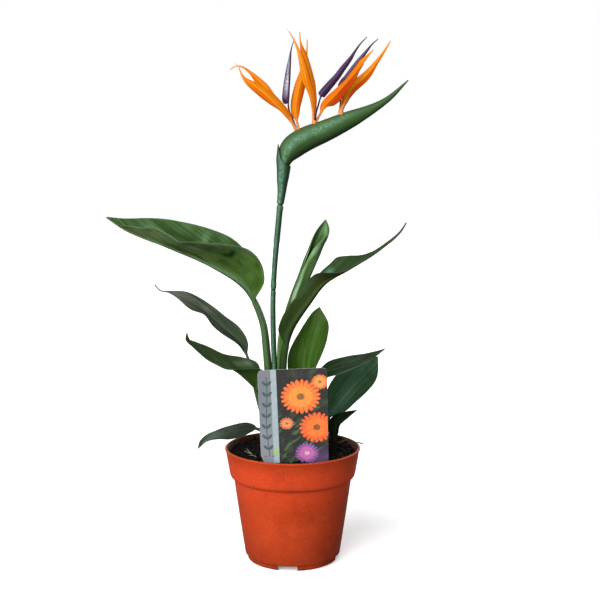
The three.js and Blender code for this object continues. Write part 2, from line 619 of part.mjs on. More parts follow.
const petalSkin = (part, steps) => bladeSkin(bladeRings(part, steps, petalSteps, petalColumns));

let soil = soilSolid();
for (const [name, leaf] of Object.entries(leaves)) {
  plant.add(meshOf(name, bladeSkin(bladeRings(leaf, stalkSteps, sheetSteps)), colours.leaf, 0.5));
  soil = soil.subtract(holeOf(leaf, stalkSteps));
}
soil = soil.subtract(solidOf(scapeTube(clearance))).subtract(solidOf(labelGeometry(clearance)));

let spathe = solidOf(spatheTube(0));
for (const [name, floret] of Object.entries(florets)) {
  spathe = spathe.subtract(floretBase(floret, clearance));
  let sepals = floretBase(floret);
  for (const part of floret.sepals) sepals = sepals.add(solidOf(petalSkin(part, 1)));
  plant.add(meshOf(name + "_sepals", geometryFrom(sepals), colours.sepal, 0.45));
  plant.add(meshOf(name + "_arrow", petalSkin(floret.arrow, arrowStalkSteps), colours.arrow, 0.45));
}

plant.add(meshOf("flower_stem", scapeTube(0), colours.scape, 0.4));
plant.add(meshOf("spathe", geometryFrom(spathe), colours.spathe, 0.4));
plant.add(meshOf("sheath_bract", geometryFrom(sheathSolid()), colours.sheath, 0.45));
plant.add(meshOf("pot", geometryFrom(potSolid()), colours.pot, 0.55));
plant.add(meshOf("soil", geometryFrom(soil), colours.soil, 0.95));
plant.add(meshOf("label", labelGeometry(), colours.label, 0.4));

const box = new THREE.Box3().setFromObject(plant);
plant.position.set(-(box.min.x + box.max.x) / 2, -(box.min.y + box.max.y) / 2, 0);
const pottedPlant = new THREE.Group();
pottedPlant.add(plant);

export default pottedPlant;
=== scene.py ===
import bisect
import math
import random
import bpy
import bmesh
from mathutils import Matrix, Vector, geometry, noise


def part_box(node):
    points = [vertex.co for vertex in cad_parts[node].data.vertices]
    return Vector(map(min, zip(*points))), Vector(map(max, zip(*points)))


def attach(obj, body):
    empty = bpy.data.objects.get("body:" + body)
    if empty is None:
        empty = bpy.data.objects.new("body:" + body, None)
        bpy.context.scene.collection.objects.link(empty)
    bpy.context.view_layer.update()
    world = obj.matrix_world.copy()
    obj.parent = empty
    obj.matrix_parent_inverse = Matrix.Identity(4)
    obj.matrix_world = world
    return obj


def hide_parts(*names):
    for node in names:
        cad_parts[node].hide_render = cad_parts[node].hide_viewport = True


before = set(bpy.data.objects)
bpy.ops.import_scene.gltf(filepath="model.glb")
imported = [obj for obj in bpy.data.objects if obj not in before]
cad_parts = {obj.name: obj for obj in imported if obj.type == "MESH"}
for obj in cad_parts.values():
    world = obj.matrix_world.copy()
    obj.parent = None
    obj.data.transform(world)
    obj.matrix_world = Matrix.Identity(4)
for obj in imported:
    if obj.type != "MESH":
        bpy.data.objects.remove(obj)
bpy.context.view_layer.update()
potLow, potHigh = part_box("pot")
potAxis = Vector(((potLow.x + potHigh.x) / 2, (potLow.y + potHigh.y) / 2, 0))
print("frame loaded, pot axis at", [round(v, 4) for v in potAxis])


# Small helpers

def fromPot(point):  # a place in millimetres round the pot's axis, as metres in the frame
    return Vector(point) * 0.001 + potAxis


def clamp(value, low=0.0, high=1.0):
    return max(low, min(high, value))


def ease(value, low=0.0, high=1.0):  # smooth step from low to high
    t = clamp((value - low) / (high - low))
    return t * t * (3 - 2 * t)


def lerp(a, b, t):
    return a + (b - a) * t


def alongStations(stations, t):  # smooth value through equally spaced stations
    if len(stations) == 1:
        return stations[0]
    place = clamp(t) * (len(stations) - 1)
    i = min(int(place), len(stations) - 2)
    f = place - i
    p1, p2 = stations[i], stations[i + 1]
    p0 = stations[i - 1] if i else 2 * p1 - p2
    p3 = stations[i + 2] if i + 2 < len(stations) else 2 * p2 - p1
    bend = (2 * p0 - 5 * p1 + 4 * p2 - p3) * f * f + (3 * p1 - p0 - 3 * p2 + p3) * f ** 3
    return p1 + 0.5 * ((p2 - p0) * f + bend)


class Rail:  # a smooth line through points, walked by its length
    def __init__(self, path, dotsPerSpan=24):
        points = [Vector(p) for p in path]
        ends = [2 * points[0] - points[1]] + points + [2 * points[-1] - points[-2]]
        self.dots = []
        for k in range(len(points) - 1):
            p0, p1, p2, p3 = ends[k:k + 4]
            d0, d1, d2 = [max(1e-6, (b - a).length) ** 0.5 for a, b in ((p0, p1), (p1, p2), (p2, p3))]
            m1 = ((p1 - p0) / d0 - (p2 - p0) / (d0 + d1) + (p2 - p1) / d1) * d1
            m2 = ((p2 - p1) / d1 - (p3 - p1) / (d1 + d2) + (p3 - p2) / d2) * d1
            span = geometry.interpolate_bezier(p1, p1 + m1 / 3, p2 - m2 / 3, p2, dotsPerSpan)
            self.dots += span if k == 0 else span[1:]
        self.far = [0.0]
        for a, b in zip(self.dots, self.dots[1:]):
            self.far.append(self.far[-1] + (b - a).length)
        self.length = self.far[-1]

    def at(self, u):
        reach = clamp(u) * self.length
        i = clamp(bisect.bisect_right(self.far, reach) - 1, 0, len(self.dots) - 2)
        step = (reach - self.far[i]) / max(1e-9, self.far[i + 1] - self.far[i])
        return self.dots[i].lerp(self.dots[i + 1], step)

    def heading(self, u, look=0.006):
        return (self.at(u + look) - self.at(u - look)).normalized()


def gridVerts(bm, across, lengthwise):  # a flat grid, as rows of its vertices
    made = bmesh.ops.create_grid(bm, x_segments=across, y_segments=lengthwise, size=1, calc_uvs=True)
    verts = sorted(made["verts"], key=lambda v: (round(v.co.y, 5), round(v.co.x, 5)))
    return [verts[i * (across + 1):(i + 1) * (across + 1)] for i in range(lengthwise + 1)]


def turned(line, steps):  # an outline of radius and height, spun round the pot's axis
    bm = bmesh.new()
    verts = [bm.verts.new(fromPot((r, 0, z))) for r, z in line]
    edges = [bm.edges.new(pair) for pair in zip(verts, verts[1:])]
    bmesh.ops.spin(bm, geom=verts + edges, cent=potAxis, axis=(0, 0, 1), dvec=(0, 0, 0), angle=math.tau,
                   steps=steps, use_merge=True)
    bmesh.ops.remove_doubles(bm, verts=bm.verts, dist=1e-6)
    return bm


def closeRolls(bm, rolls, ends=True):  # joins each rolled grid's long edges, then fills the open ends
    for rows in rolls:
        bmesh.ops.remove_doubles(bm, verts=[v for row in rows for v in (row[0], row[-1])], dist=1e-7)
    if ends:
        bmesh.ops.holes_fill(bm, edges=[e for e in bm.edges if e.is_boundary], sides=0)
    bmesh.ops.recalc_face_normals(bm, faces=bm.faces)


def meshOf(name, bm):  # a mesh from a bmesh that is done with
    mesh = bpy.data.meshes.new(name)
    bm.to_mesh(mesh)
    bm.free()
    return mesh


def objectOf(name, data):  # an object in the scene
    made = bpy.data.objects.new(name, data)
    bpy.context.scene.collection.objects.link(made)
    return made


def applyModifiers(piece):  # bakes a piece's modifiers into its mesh
    graph = bpy.context.evaluated_depsgraph_get()
    graph.update()
    made = bpy.data.meshes.new_from_object(piece.evaluated_get(graph))
    piece.modifiers.clear()
    piece.data = made


def pieceOf(name, bm, material, nodes=(), smooth=True):  # a finished piece from its bmesh
    mesh = meshOf(name, bm)
    piece = objectOf(name, mesh)
    mesh.materials.append(material)
    mesh.polygons.foreach_set("use_smooth", [smooth] * len(mesh.polygons))
    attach(piece, "root")
    if nodes:
        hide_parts(*nodes)
    return piece


# Materials

class Field:  # one socket's value, with arithmetic that adds Math nodes
    def __init__(self, finish, socket):
        self.finish, self.socket = finish, socket

    def math(self, operation, *values, clamped=False):
        settings = {"operation": operation, "use_clamp": clamped}
        return self.finish.node("Math", settings, dict(enumerate(values)))

    def __add__(self, other): return self.math("ADD", self, other)
    def __radd__(self, other): return self.math("ADD", other, self)
    def __sub__(self, other): return self.math("SUBTRACT", self, other)
    def __rsub__(self, other): return self.math("SUBTRACT", other, self)
    def __mul__(self, other): return self.math("MULTIPLY", self, other)
    def __rmul__(self, other): return self.math("MULTIPLY", other, self)
    def __truediv__(self, other): return self.math("DIVIDE", self, other)
    def __pow__(self, other): return self.math("POWER", self, other)
    def sine(self): return self.math("SINE", self)
    def cosine(self): return self.math("COSINE", self)
    def turnFrom(self, other): return self.math("ARCTAN2", self, other)
    def wrap(self, size): return self.math("FLOORED_MODULO", self, size)
    def size(self): return self.math("ABSOLUTE", self)
    def root(self): return self.math("SQRT", self)
    def least(self, other): return self.math("MINIMUM", self, other)
    def most(self, other): return self.math("MAXIMUM", self, other)
    def share(self): return self.math("ADD", self, 0.0, clamped=True)

    def rise(self, low, high):  # 0 below low, 1 above high, smooth between
        settings = {"interpolation_type": "SMOOTHSTEP"}
        return self.finish.node("MapRange", settings, {0: self, 1: low, 2: high, 3: 0.0, 4: 1.0})


class Finish:  # one material and the nodes of its look
    def __init__(self, name, shine=(1, 1, 1), **shader):
        self.material = bpy.data.materials.new(name)
        self.material.use_nodes = True
        self.tree = self.material.node_tree
        self.shader = self.tree.nodes["Principled BSDF"]
        for socket, value in shader.items():
            self.shader.inputs[socket.replace("_", " ")].default_value = value
        self.shader.inputs["Specular Tint"].default_value = (*shine, 1)

    def node(self, kind, settings=None, inputs=None, output=0):
        made = self.tree.nodes.new("ShaderNode" + kind)
        for key, value in (settings or {}).items():
            setattr(made, key, value)
        for key, value in (inputs or {}).items():
            self.plug(made.inputs[key], value)
        return Field(self, made.outputs[output])

    def plug(self, socket, value):
        if isinstance(value, Field):
            self.tree.links.new(value.socket, socket)
        elif hasattr(value, "__len__") and len(value) == 3 and socket.type == "RGBA":
            socket.default_value = (*value, 1)
        else:
            socket.default_value = value

    def place(self):  # Object coordinates
        return self.node("TexCoord", output=3)

    def stored(self, name):  # the three numbers of a stored attribute
        vector = self.node("Attribute", {"attribute_name": name}, output=1)
        parts = self.tree.nodes.new("ShaderNodeSeparateXYZ")
        self.tree.links.new(vector.socket, parts.inputs[0])
        return [Field(self, socket) for socket in parts.outputs]

    def grain(self, scale, detail=3.0, roughness=0.5, vector=None):
        inputs = {"Vector": vector or self.place(), "Scale": scale, "Detail": detail, "Roughness": roughness}
        return self.node("TexNoise", None, inputs)

    def streaks(self, x, y, z, detail=2, roughness=0.5):  # grain in coordinates of its own
        return self.grain(1.0, detail, roughness, self.combined(x, y, z))

    def stretched(self, x, y, z):
        return self.node("Mapping", None, {"Vector": self.place(), "Scale": (x, y, z)})

    def combined(self, x, y, z):
        return self.node("CombineXYZ", None, {0: x, 1: y, 2: z})

    def blend(self, share, low, high):  # from one colour to the other
        return self.node("Mix", {"data_type": "RGBA"}, {0: share, 6: low, 7: high}, output=2)

    def layers(self, colour, *coats):  # colours laid over the first one, each by its share
        for share, ink in coats:
            colour = self.blend(share, colour, ink)
        return colour

    def finishWith(self, colour, roughness=None, height=None, depth=0.0002, strength=1.0):
        self.plug(self.shader.inputs["Base Color"], colour)
        if roughness is not None:
            self.plug(self.shader.inputs["Roughness"], roughness)
        if height is not None:
            bump = self.node("Bump", None, {"Strength": strength, "Distance": depth, "Height": height})
            self.plug(self.shader.inputs["Normal"], bump)
        return self.material


# Pot

potShape = {
    "rimRadius": 85.0, "height": 142.0, "bandHeight": 32.5, "shoulderHeight": 5.5, "wall": 1.8,
    "bandInset": 6.0, "wallInset": 11.0, "footInset": 25.0, "ringInset": 28.5,
    "footHeight": 6.5, "lipRadius": 1.6, "turnSteps": 160,
    "drainHoles": 6, "drainRadius": 5.0, "drainCircle": 36.0,
    "notches": 4, "notchAngle": -95.8, "notchWidth": 24.0, "notchHeight": 5.8,
    "cutterDepth": 0.03, "notchBevel": 0.0015,
    # the first two pairs of heights bound the painted light under the band
    "paintedLightFrom": (0.07, 0.1), "paintedLightTo": (0.118, 0.142), "lowDirt": (0.0, 0.02), "rimDirt": (0.1385, 0.1415),
    "innerWall": (0.112, 0.114), "innerSkin": (-0.0023, -0.0013),
    "colour": (0.36, 0.035, 0.008), "paleColour": (0.46, 0.06, 0.018), "dirt": (0.05, 0.02, 0.01),
    # the first colour here is the painted light under the band
    "paintedLightColour": (0.52, 0.05, 0.014), "soiled": (0.1, 0.055, 0.034),
    "stain": (0.21, 0.024, 0.008),
    "spots": [[-46.5, -63.5, 108.5, 1.5], [-57.5, -55.5, 134.5, 1.1], [22, -77.5, 121, 0.8],
              [-22, -67, 71, 0.8], [38, -55, 62, 1.0], [-9, -63.5, 41, 0.7]],
}


def potFinish(look):
    f = Finish("terracotta plastic", shine=(1.0, 0.4, 0.2), Specular_IOR_Level=0.08)
    mottle, speckle = f.grain(22, 3, 0.55), f.grain(900, 2, 0.5)
    scuffs = f.grain(60, 5, 0.7, f.stretched(1, 1, 0.35)).rise(0.6, 0.72)
    height = f.node("SeparateXYZ", None, {0: f.place()}, output=2)
    paintedLightUnderBand = height.rise(*look["paintedLightFrom"]) * (1 - height.rise(*look["paintedLightTo"]))  # painted light round the step under the band, lifting the shade that the band casts there
    lowDirt = (1 - height.rise(*look["lowDirt"])) * f.grain(120, 4).rise(0.4, 0.65)
    rimDirt = height.rise(*look["rimDirt"]) * f.grain(170, 5, 0.65).rise(0.52, 0.66)
    stains = f.grain(14, 3, 0.6, f.stretched(1, 1, 0.6)).rise(0.5, 0.72) * f.grain(95, 4, 0.65).rise(0.35, 0.6)
    colour = f.layers(
        look["colour"],
        (mottle.rise(0.35, 0.7) * 0.45, look["paleColour"]),
        (scuffs * 0.22, look["paleColour"]),
        # painted light: a lighter colour under the band, in place of the shade there
        (paintedLightUnderBand * 0.9, look["paintedLightColour"]),
        (stains * 0.5, look["stain"]),
        (speckle.rise(0.5, 0.66) * 0.5, look["paleColour"]),
        ((1 - speckle).rise(0.5, 0.66) * 0.5, look["stain"]),
        (f.grain(330, 2, 0.5).rise(0.7, 0.76) * 0.6, look["dirt"]))
    ragged = f.grain(500, 2) * 0.0012
    for x, y, z, size in look["spots"]:
        away = f.node("VectorMath", {"operation": "DISTANCE"}, {0: f.place(), 1: fromPot((x, y, z))}, output=1)
        colour = f.blend(1 - (away + ragged).rise(0.0005 * size, 0.0016 * size), colour, look["dirt"])
    colour = f.blend((lowDirt * 0.5 + rimDirt * 0.45).share(), colour, look["dirt"])
    flat = f.node("VectorMath", {"operation": "MULTIPLY"}, {0: f.place(), 1: (1, 1, 0)})
    fromAxis = f.node("VectorMath", {"operation": "DISTANCE"}, {0: flat, 1: tuple(potAxis)}, output=1)
    slope = look["bandInset"] / look["bandHeight"]
    outside = (look["rimRadius"] - look["height"] * slope) / 1000 + height * slope  # the band's radius at a height
    inside = (1 - (fromAxis - outside).rise(*look["innerSkin"])) * height.rise(*look["innerWall"])
    colour = f.blend(inside * (0.6 + f.grain(90, 4, 0.65) * 0.6).share(), colour, look["soiled"])
    roughness = 0.42 + 0.14 * mottle + 0.12 * scuffs
    return f.finishWith(colour, roughness, mottle * 0.7 + speckle * 0.5, 0.0003, 0.4)


def makePot(shape):
    rim, top, wall = shape["rimRadius"], shape["height"], shape["wall"]
    foot, footHeight, lipRadius = rim - shape["ringInset"], shape["footHeight"], shape["lipRadius"]
    bandFoot = (rim - shape["bandInset"], top - shape["bandHeight"])
    wallTop = (rim - shape["wallInset"], bandFoot[1] - shape["shoulderHeight"])
    wallFoot = (rim - shape["footInset"], footHeight)
    wallMiddle = (lerp(wallFoot[0], wallTop[0], 0.5), lerp(wallFoot[1], wallTop[1], 0.5))
    lip = [(rim - lipRadius + lipRadius * math.cos(a), top - lipRadius + lipRadius * math.sin(a))
           for a in [math.radians(-40 + 200 * k / 8) for k in range(9)]]
    line = [
        (0, footHeight - 1), (foot - wall - 0.6, footHeight - 1), (foot - wall, footHeight - 1.6),
        (foot - wall + 0.2, 0.3), (foot - wall + 0.5, 0), (foot - 0.5, 0), (foot, 0.5),
        (foot + 0.2, footHeight - 1.5), (foot + 0.8, footHeight - 0.5),
        (wallFoot[0] - 1.2, wallFoot[1]), (wallFoot[0], wallFoot[1] + 1.1),
        (wallMiddle[0] + 0.15, wallMiddle[1]), (wallTop[0] - 0.1, wallTop[1] - 1.2),
        (wallTop[0] + 0.5, wallTop[1] + 0.1), (wallTop[0] + 2.2, wallTop[1] + 1.0),
        (lerp(wallTop[0], bandFoot[0], 0.75), lerp(wallTop[1], bandFoot[1], 0.5)),
        (bandFoot[0] - 0.4, bandFoot[1] - 1.0), (bandFoot[0], bandFoot[1] + 0.6),
        (lerp(bandFoot[0], rim, 0.5) - 0.2, lerp(bandFoot[1], top, 0.5)), (rim - 1.4, top - 4.6),
        *lip,
        (rim - 2 * lipRadius - 0.2, top - 4), (bandFoot[0] - wall, bandFoot[1] + 1),
        (wallTop[0] - wall, wallTop[1] + 1), (wallFoot[0] - wall, wallFoot[1] + 2 * wall),
        (0, wallFoot[1] + 2 * wall),
    ]
    bm = turned(line, shape["turnSteps"])
    bmesh.ops.recalc_face_normals(bm, faces=bm.faces)
    pot = pieceOf("nursery_pot", bm, potFinish(shape), ["pot"])
    cutters = bmesh.new()
    for k in range(shape["drainHoles"]):
        angle = math.tau * k / shape["drainHoles"]
        centre = (shape["drainCircle"] * math.cos(angle), shape["drainCircle"] * math.sin(angle), footHeight)
        bmesh.ops.create_cone(cutters, cap_ends=True, segments=32, radius1=shape["drainRadius"] / 1000,
                              radius2=shape["drainRadius"] / 1000, depth=shape["cutterDepth"],
                              matrix=Matrix.Translation(fromPot(centre)))
    for k in range(shape["notches"]):
        turn = Matrix.Rotation(math.radians(shape["notchAngle"]) + math.tau * k / shape["notches"], 4, "Z")
        box = bmesh.ops.create_cube(cutters, size=0.001)["verts"]
        bmesh.ops.scale(cutters, vec=(4 * wall, shape["notchWidth"], 2 * shape["notchHeight"]), verts=box)
        boxEdges = set(e for v in box for e in v.link_edges)
        outward = [e for e in boxEdges if abs((e.verts[0].co - e.verts[1].co).x) > 1e-4]
        rounded = bmesh.ops.bevel(cutters, geom=outward, offset=shape["notchBevel"], segments=4, profile=0.5,
                                  affect="EDGES", material=-1)
        box = list(set(v for v in box if v.is_valid) | set(rounded["verts"]))
        bmesh.ops.translate(cutters, vec=((foot - wall) / 1000, 0, 0), verts=box)
        bmesh.ops.transform(cutters, matrix=Matrix.Translation(potAxis) @ turn, verts=box)
    cutter = objectOf("pot_cuts", meshOf("pot_cuts", cutters))
    boolean = pot.modifiers.new("cuts", "BOOLEAN")
    boolean.object, boolean.solver = cutter, "EXACT"
    applyModifiers(pot)
    bpy.data.objects.remove(cutter)
    return pot


pot = makePot(potShape)
pot.data.set_sharp_from_angle(angle=math.radians(50))
print("pot made")


# Leaves

dimLook = {  # the leaves that lie low and in the shade, in darker colours that paint that shade
    "under": [(0.02, 0.045, 0.02), (0.03, 0.048, 0.024)], "pale": (0.034, 0.06, 0.034), "deep": (0.005, 0.012, 0.004),
    "shine": (0.08, 0.12, 0.085), "edge": (0.08, 0.11, 0.065), "stalk": [(0.02, 0.045, 0.018), (0.02, 0.045, 0.018)],
    "streak": 0.6, "gloss": 0.03,
}
leafShapes = {  # each mark and dent: side, place along, share across, length, breadth, amount; a mark with a plus amount paints sheen and highlight, one with a minus amount paints shade, a few are real colour patches, and a dent moves the surface
    "leaf_01_large_left": {
        "rib": [[-24, 8, 100], [-27, 8, 175], [-32, 8, 260], [-38, 7, 303], [-57, 2, 341], [-97, -3, 369],
                [-154, -6, 394], [-203, -7, 414], [-227, -8, 430]],
        "bladeFrom": 0.51, "stalk": [6.5, 4.8, 1],
        "face": [[0.3, -0.2, 1], [0.1, -0.2, 1], [0, -0.2, 1]],
        "left": {"width": [3, 38, 46, 42, 35, 26, 14, 0.6],
                 "lift": [80, 82, 82, 78, 67, 57, 48, 40, 38, 45, 54, 46, 45, 24, 20]},
        "right": {"width": [3, 30, 42, 42, 38, 31, 19, 0.6], "lift": [60, 60, 60, 58, 56, 54, 52, 50]},
        "sheenShadeAndToneMarks": [[-1, 0.283, 0.76, 0.013, 0.07, -1.8], [-1, 0.305, 0.66, 0.028, 0.05, -1.3],
                  [-1, 0.3, 0.47, 0.045, 0.09, -0.8], [-1, 0.22, 0.45, 0.03, 0.12, -0.3],
                  [-1, 0.15, 0.88, 0.012, 0.07, -0.6], [-1, 0.17, 0.5, 0.012, 0.1, -0.35],
                  [-1, 0.07, 0.6, 0.06, 0.3, -0.6], [-1, 0.36, 0.95, 0.14, 0.04, 0.65],
                  [-1, 0.22, 0.15, 0.25, 0.12, 0.5], [-1, 0.48, 0.66, 0.07, 0.025, 0.8],
                  [-1, 0.66, 0.97, 0.07, 0.03, 0.7], [-1, 0.55, 0.97, 0.05, 0.03, 0.5],
                  [-1, 0.82, 0.95, 0.1, 0.05, 0.5], [-1, 0.7, 0.6, 0.15, 0.15, 0.35],
                  [-1, 0.109, 0.95, 0.012, 0.04, 0.9], [1, 0.44, 0.72, 0.022, 0.16, 0.5],
                  [1, 0.36, 0.55, 0.025, 0.1, 0.5], [1, 0.5, 0.6, 0.035, 0.25, -0.6],
                  [1, 0.39, 0.75, 0.02, 0.3, -0.4], [1, 0.62, 0.6, 0.06, 0.25, -0.5],
                  [1, 0.76, 0.6, 0.05, 0.25, 0.3], [1, 0.45, 1, 0.3, 0.02, -0.5], [1, 0.55, 0.9, 0.04, 0.08, 0.3],
                  [-1, 0.6, 0.5, 0.1, 0.14, -0.4], [-1, 0.4, 0.75, 0.03, 0.08, -0.5],
                  [1, 0.68, 0.85, 0.04, 0.12, -0.4]],
        "dents": [[-1, 0.34, 0.6, 0.06, 0.14, 2.0], [-1, 0.2, 0.8, 0.05, 0.15, -1.2],
                  [-1, 0.15, 0.55, 0.03, 0.12, 1.2], [-1, 0.56, 1, 0.03, 0.3, -1.6], [-1, 0.48, 1, 0.03, 0.3, 1.4],
                  [1, 0.5, 0.8, 0.05, 0.2, -1.0]],
        "look": {
            "upper": [(0.036, 0.08, 0.026), (0.03, 0.074, 0.019)],
            "under": [(0.052, 0.122, 0.008), (0.15, 0.21, 0.085)], "pale": (0.07, 0.13, 0.04),
            "deep": (0.008, 0.026, 0.003), "shine": (0.11, 0.2, 0.13), "edge": (0.13, 0.18, 0.09),
            "stalk": [(0.038, 0.08, 0.027), (0.048, 0.095, 0.038)], "streak": 0.9, "gloss": 0.13,
        },
    },
    "leaf_02_dusky_left": {
        "rib": [[-33, 18, 100], [-36, 18, 165], [-44, 20, 197], [-51, 24, 225], [-56, 27, 247], [-64, 30, 264],
                [-77, 34, 278], [-92, 38, 290], [-107, 42, 303], [-124, 45, 316], [-141, 47, 327], [-158, 48, 332],
                [-170, 49, 334], [-177, 50, 341]],
        "bladeFrom": 0.5, "stalk": [4, 1.8, 0.8],
        "face": [[0, -0.6, 1]],
        "left": {"width": [2, 9, 13, 13, 12, 11, 8, 1.7, 0.8], "lift": [50, 35, 20, 18, 30, -8, -15, 0, 0]},
        "right": {"width": [2, 11, 14, 13, 12, 11, 8, 1.7, 0.8], "lift": [50, 40, 30, 25, 25, 20, 10, 0, 0]},
        "sheenShadeAndToneMarks": [[1, 0.53, 0.45, 0.05, 0.2, 0.5], [1, 0.2, 0.9, 0.06, 0.12, 0.4],
                  [1, 0.35, 0.7, 0.12, 0.12, -0.5], [1, 0.1, 0.5, 0.14, 0.5, -0.8],
                  [-1, 0.4, 0.6, 0.2, 0.2, -0.35], [0, 0.7, 0.3, 0.1, 0.2, 0.25], [0, 0.8, 0.5, 0.08, 0.8, 0.4],
                  [0, 0.27, 0.4, 0.08, 0.5, -0.35]],
        "look": {
            "upper": [(0.02, 0.028, 0.016), (0.04, 0.052, 0.036)],
            "under": [(0.035, 0.055, 0.03), (0.05, 0.065, 0.04)], "pale": (0.09, 0.105, 0.078),
            "deep": (0.014, 0.024, 0.011), "shine": (0.13, 0.14, 0.12), "gloss": 0.08, "slant": 0.05, "streak": 0.9,
            "edge": (0.1, 0.13, 0.085), "stalk": [(0.03, 0.07, 0.03), (0.03, 0.07, 0.035)],
        },
    },
    "leaf_03_lower_left": {
        "rib": [[-32, -6, 100], [-37, -7, 160], [-40, -10, 203], [-45, -13, 218], [-56, -16, 230], [-67, -19, 240],
                [-79, -22, 248], [-95, -25, 258], [-109, -28, 268], [-120, -31, 276], [-127, -33, 282],
                [-128, -34, 291]],
        "bladeFrom": 0.49, "stalk": [4.5, 3, 0.6],
        "face": [[0, -0.4, 1], [0, -0.5, 1], [0, -0.5, 1]],
        "left": {"width": [3, 28, 16, 8, 8, 5, 0.6], "lift": [80, 82, 50, -8, -15, -10, 0]},
        "right": {"width": [3, 26, 22, 14, 11, 6, 0.6], "lift": [45, 32, 20, 15, 15, 15, 0]},
        "sheenShadeAndToneMarks": [[1, 0.26, 0.78, 0.05, 0.12, 0.8], [1, 0.34, 0.6, 0.06, 0.1, 0.5], [1, 0.5, 0.6, 0.08, 0.3, -0.4],
                  [-1, 0.75, 0.95, 0.2, 0.08, 0.4], [-1, 0.1, 0.2, 0.1, 0.2, -0.5],
                  [0, 0.82, 0.4, 0.14, 0.4, -0.45]],
        "look": {
            "upper": [(0.022, 0.045, 0.014), (0.024, 0.038, 0.014)],
            "under": [(0.03, 0.078, 0.005), (0.028, 0.06, 0.008)], "pale": (0.05, 0.08, 0.035),
            "deep": (0.008, 0.02, 0.004), "shine": (0.1, 0.14, 0.085), "edge": (0.08, 0.12, 0.06),
            "stalk": [(0.03, 0.065, 0.02), (0.03, 0.065, 0.02)], "gloss": 0.08,
        },
    },
    "leaf_04_over_left_rim": {
        "rib": [[-28, 27, 100], [-30, 28, 135], [-37, 30, 153], [-52, 32, 158], [-67, 33, 156], [-81, 34, 153],
                [-96, 34, 149], [-108, 34, 145], [-116, 33, 140], [-122, 31, 131]],
        "bladeFrom": 0.42, "stalk": [3.5, 2.5, 0.6],
        "face": [[0, -0.1, 1]],
        "left": {"width": [2.5, 20, 23, 20, 12, 0.6], "lift": [-10, -10, -8, 0, 0, 0]},
        "right": {"width": [2.5, 15, 20, 18, 13, 0.6], "lift": [10, 10, 4, 2, 0, 0]},
        "sheenShadeAndToneMarks": [[-1, 0.3, 0.12, 0.25, 0.08, 0.4], [-1, 0.85, 0.8, 0.1, 0.5, 0.7], [0, 0.5, 0.9, 0.3, 0.08, -0.4],
                  [0, 0.15, 0.4, 0.2, 0.6, -0.6], [0, 0.72, 0.4, 0.12, 0.5, 0.5]],
        "look": {**dimLook, "upper": [(0.006, 0.011, 0.006), (0.018, 0.029, 0.014)]},
    },
    "leaf_05_rolled": {
        "rib": [[-2, 22, 100], [-9, 21, 170], [-15, 19, 225], [-15.8, 19, 255], [-14.3, 21, 278], [-8.8, 26, 300],
                [0.8, 31, 325], [12.2, 33, 352], [22.5, 35, 378], [31.4, 37, 402], [42, 39, 425]],
        "bladeFrom": 0.56, "stalk": [4.8, 4, 0.6],
        "face": [[0.3, -1, 0.2]],
        "left": {"width": [3, 11, 15, 17, 18, 18, 15, 9, 0.6], "lift": [5],
                 "curl": [100, 118, 120, 120, 115, 110, 100, 75, 40]},
        "right": {"width": [3, 17, 27, 31, 32, 32, 31, 23, 0.6], "lift": [5],
                  "curl": [100, 185, 215, 225, 225, 215, 190, 130, 40]},
        "sheenShadeAndToneMarks": [[1, 0.3, 0.92, 0.1, 0.06, 1.0], [1, 0.42, 0.915, 0.08, 0.03, 0.65],
                  [1, 0.52, 0.965, 0.06, 0.02, 0.6], [-1, 0.66, 0.97, 0.06, 0.03, 0.8],
                  [1, 0.7, 0.93, 0.07, 0.045, 0.8], [1, 0.55, 0.86, 0.1, 0.04, -0.5],
                  [1, 0.35, 0.8, 0.15, 0.05, -0.4], [-1, 0.3, 0.985, 0.2, 0.012, 0.35],
                  [-1, 0.4, 0.9, 0.3, 0.06, -0.25], [1, 0.93, 0.5, 0.05, 0.12, 0.4],
                  [-1, 0.8, 0.6, 0.12, 0.3, -0.5], [1, 0.6, 0.72, 0.25, 0.05, 0.25]],
        "look": {
            "upper": [(0.03, 0.078, 0.014), (0.046, 0.115, 0.024)],
            "under": [(0.056, 0.115, 0.03), (0.038, 0.08, 0.016)], "pale": (0.11, 0.19, 0.085),
            "deep": (0.018, 0.045, 0.007), "shine": (0.26, 0.4, 0.25), "edge": (0.16, 0.27, 0.1),
            "stalk": [(0.12, 0.26, 0.05), (0.14, 0.28, 0.07)], "streak": 0.7, "slant": 0.05,
        },
    },
    "leaf_06_arching_right": {
        "rib": [[-4, 3, 100], [-9, 5, 180], [-13, 6, 242], [-9, 6, 271.5], [-1.8, 3, 291], [7.2, -2, 306.3],
                [18.4, -7, 322.3], [39.8, -12, 350], [69.5, -15, 367.7], [103, -14, 388], [131, -10, 411],
                [139, -8, 423]],
        "bladeFrom": 0.43, "stalk": [6, 5.6, 0.8],
        "face": [[-0.4, 0, 1], [-0.2, 0, 1], [0, 0, 1]],
        "left": {"width": [4, 10, 13.5, 14, 14, 14, 14, 14.5, 18.5, 23, 17.4, 9, 4.8, 3.6, 2.4, 1.6, 0.6],
                 "lift": [60, 70, 80, 85, 85, 85, 80, 66, 56, 54, 52, 50, 46, 43, 40, 40, 40]},
        "right": {"width": [4, 13.2, 16.4, 17.6, 17.6, 17, 17.6, 19.6, 17.5, 12, 7, 4.7, 3.2, 2.2, 1.5, 1, 0.6],
                  "lift": [75, 75, 74, 73, 72, 69, 65, 55, 25, 5, -5, -5, -5, -3, 0, 0, 0]},
        "sheenShadeAndToneMarks": [[-1, 0.49, 0.6, 0.025, 0.2, 0.8], [-1, 0.62, 0.7, 0.05, 0.3, -0.3],
                  [1, 0.15, 0.5, 0.12, 0.3, -0.5], [1, 0.35, 0.15, 0.25, 0.14, -0.4],
                  [1, 0.36, 0.8, 0.1, 0.12, 0.3], [-1, 0.5, 0.98, 0.12, 0.06, -0.8]],
        "look": {
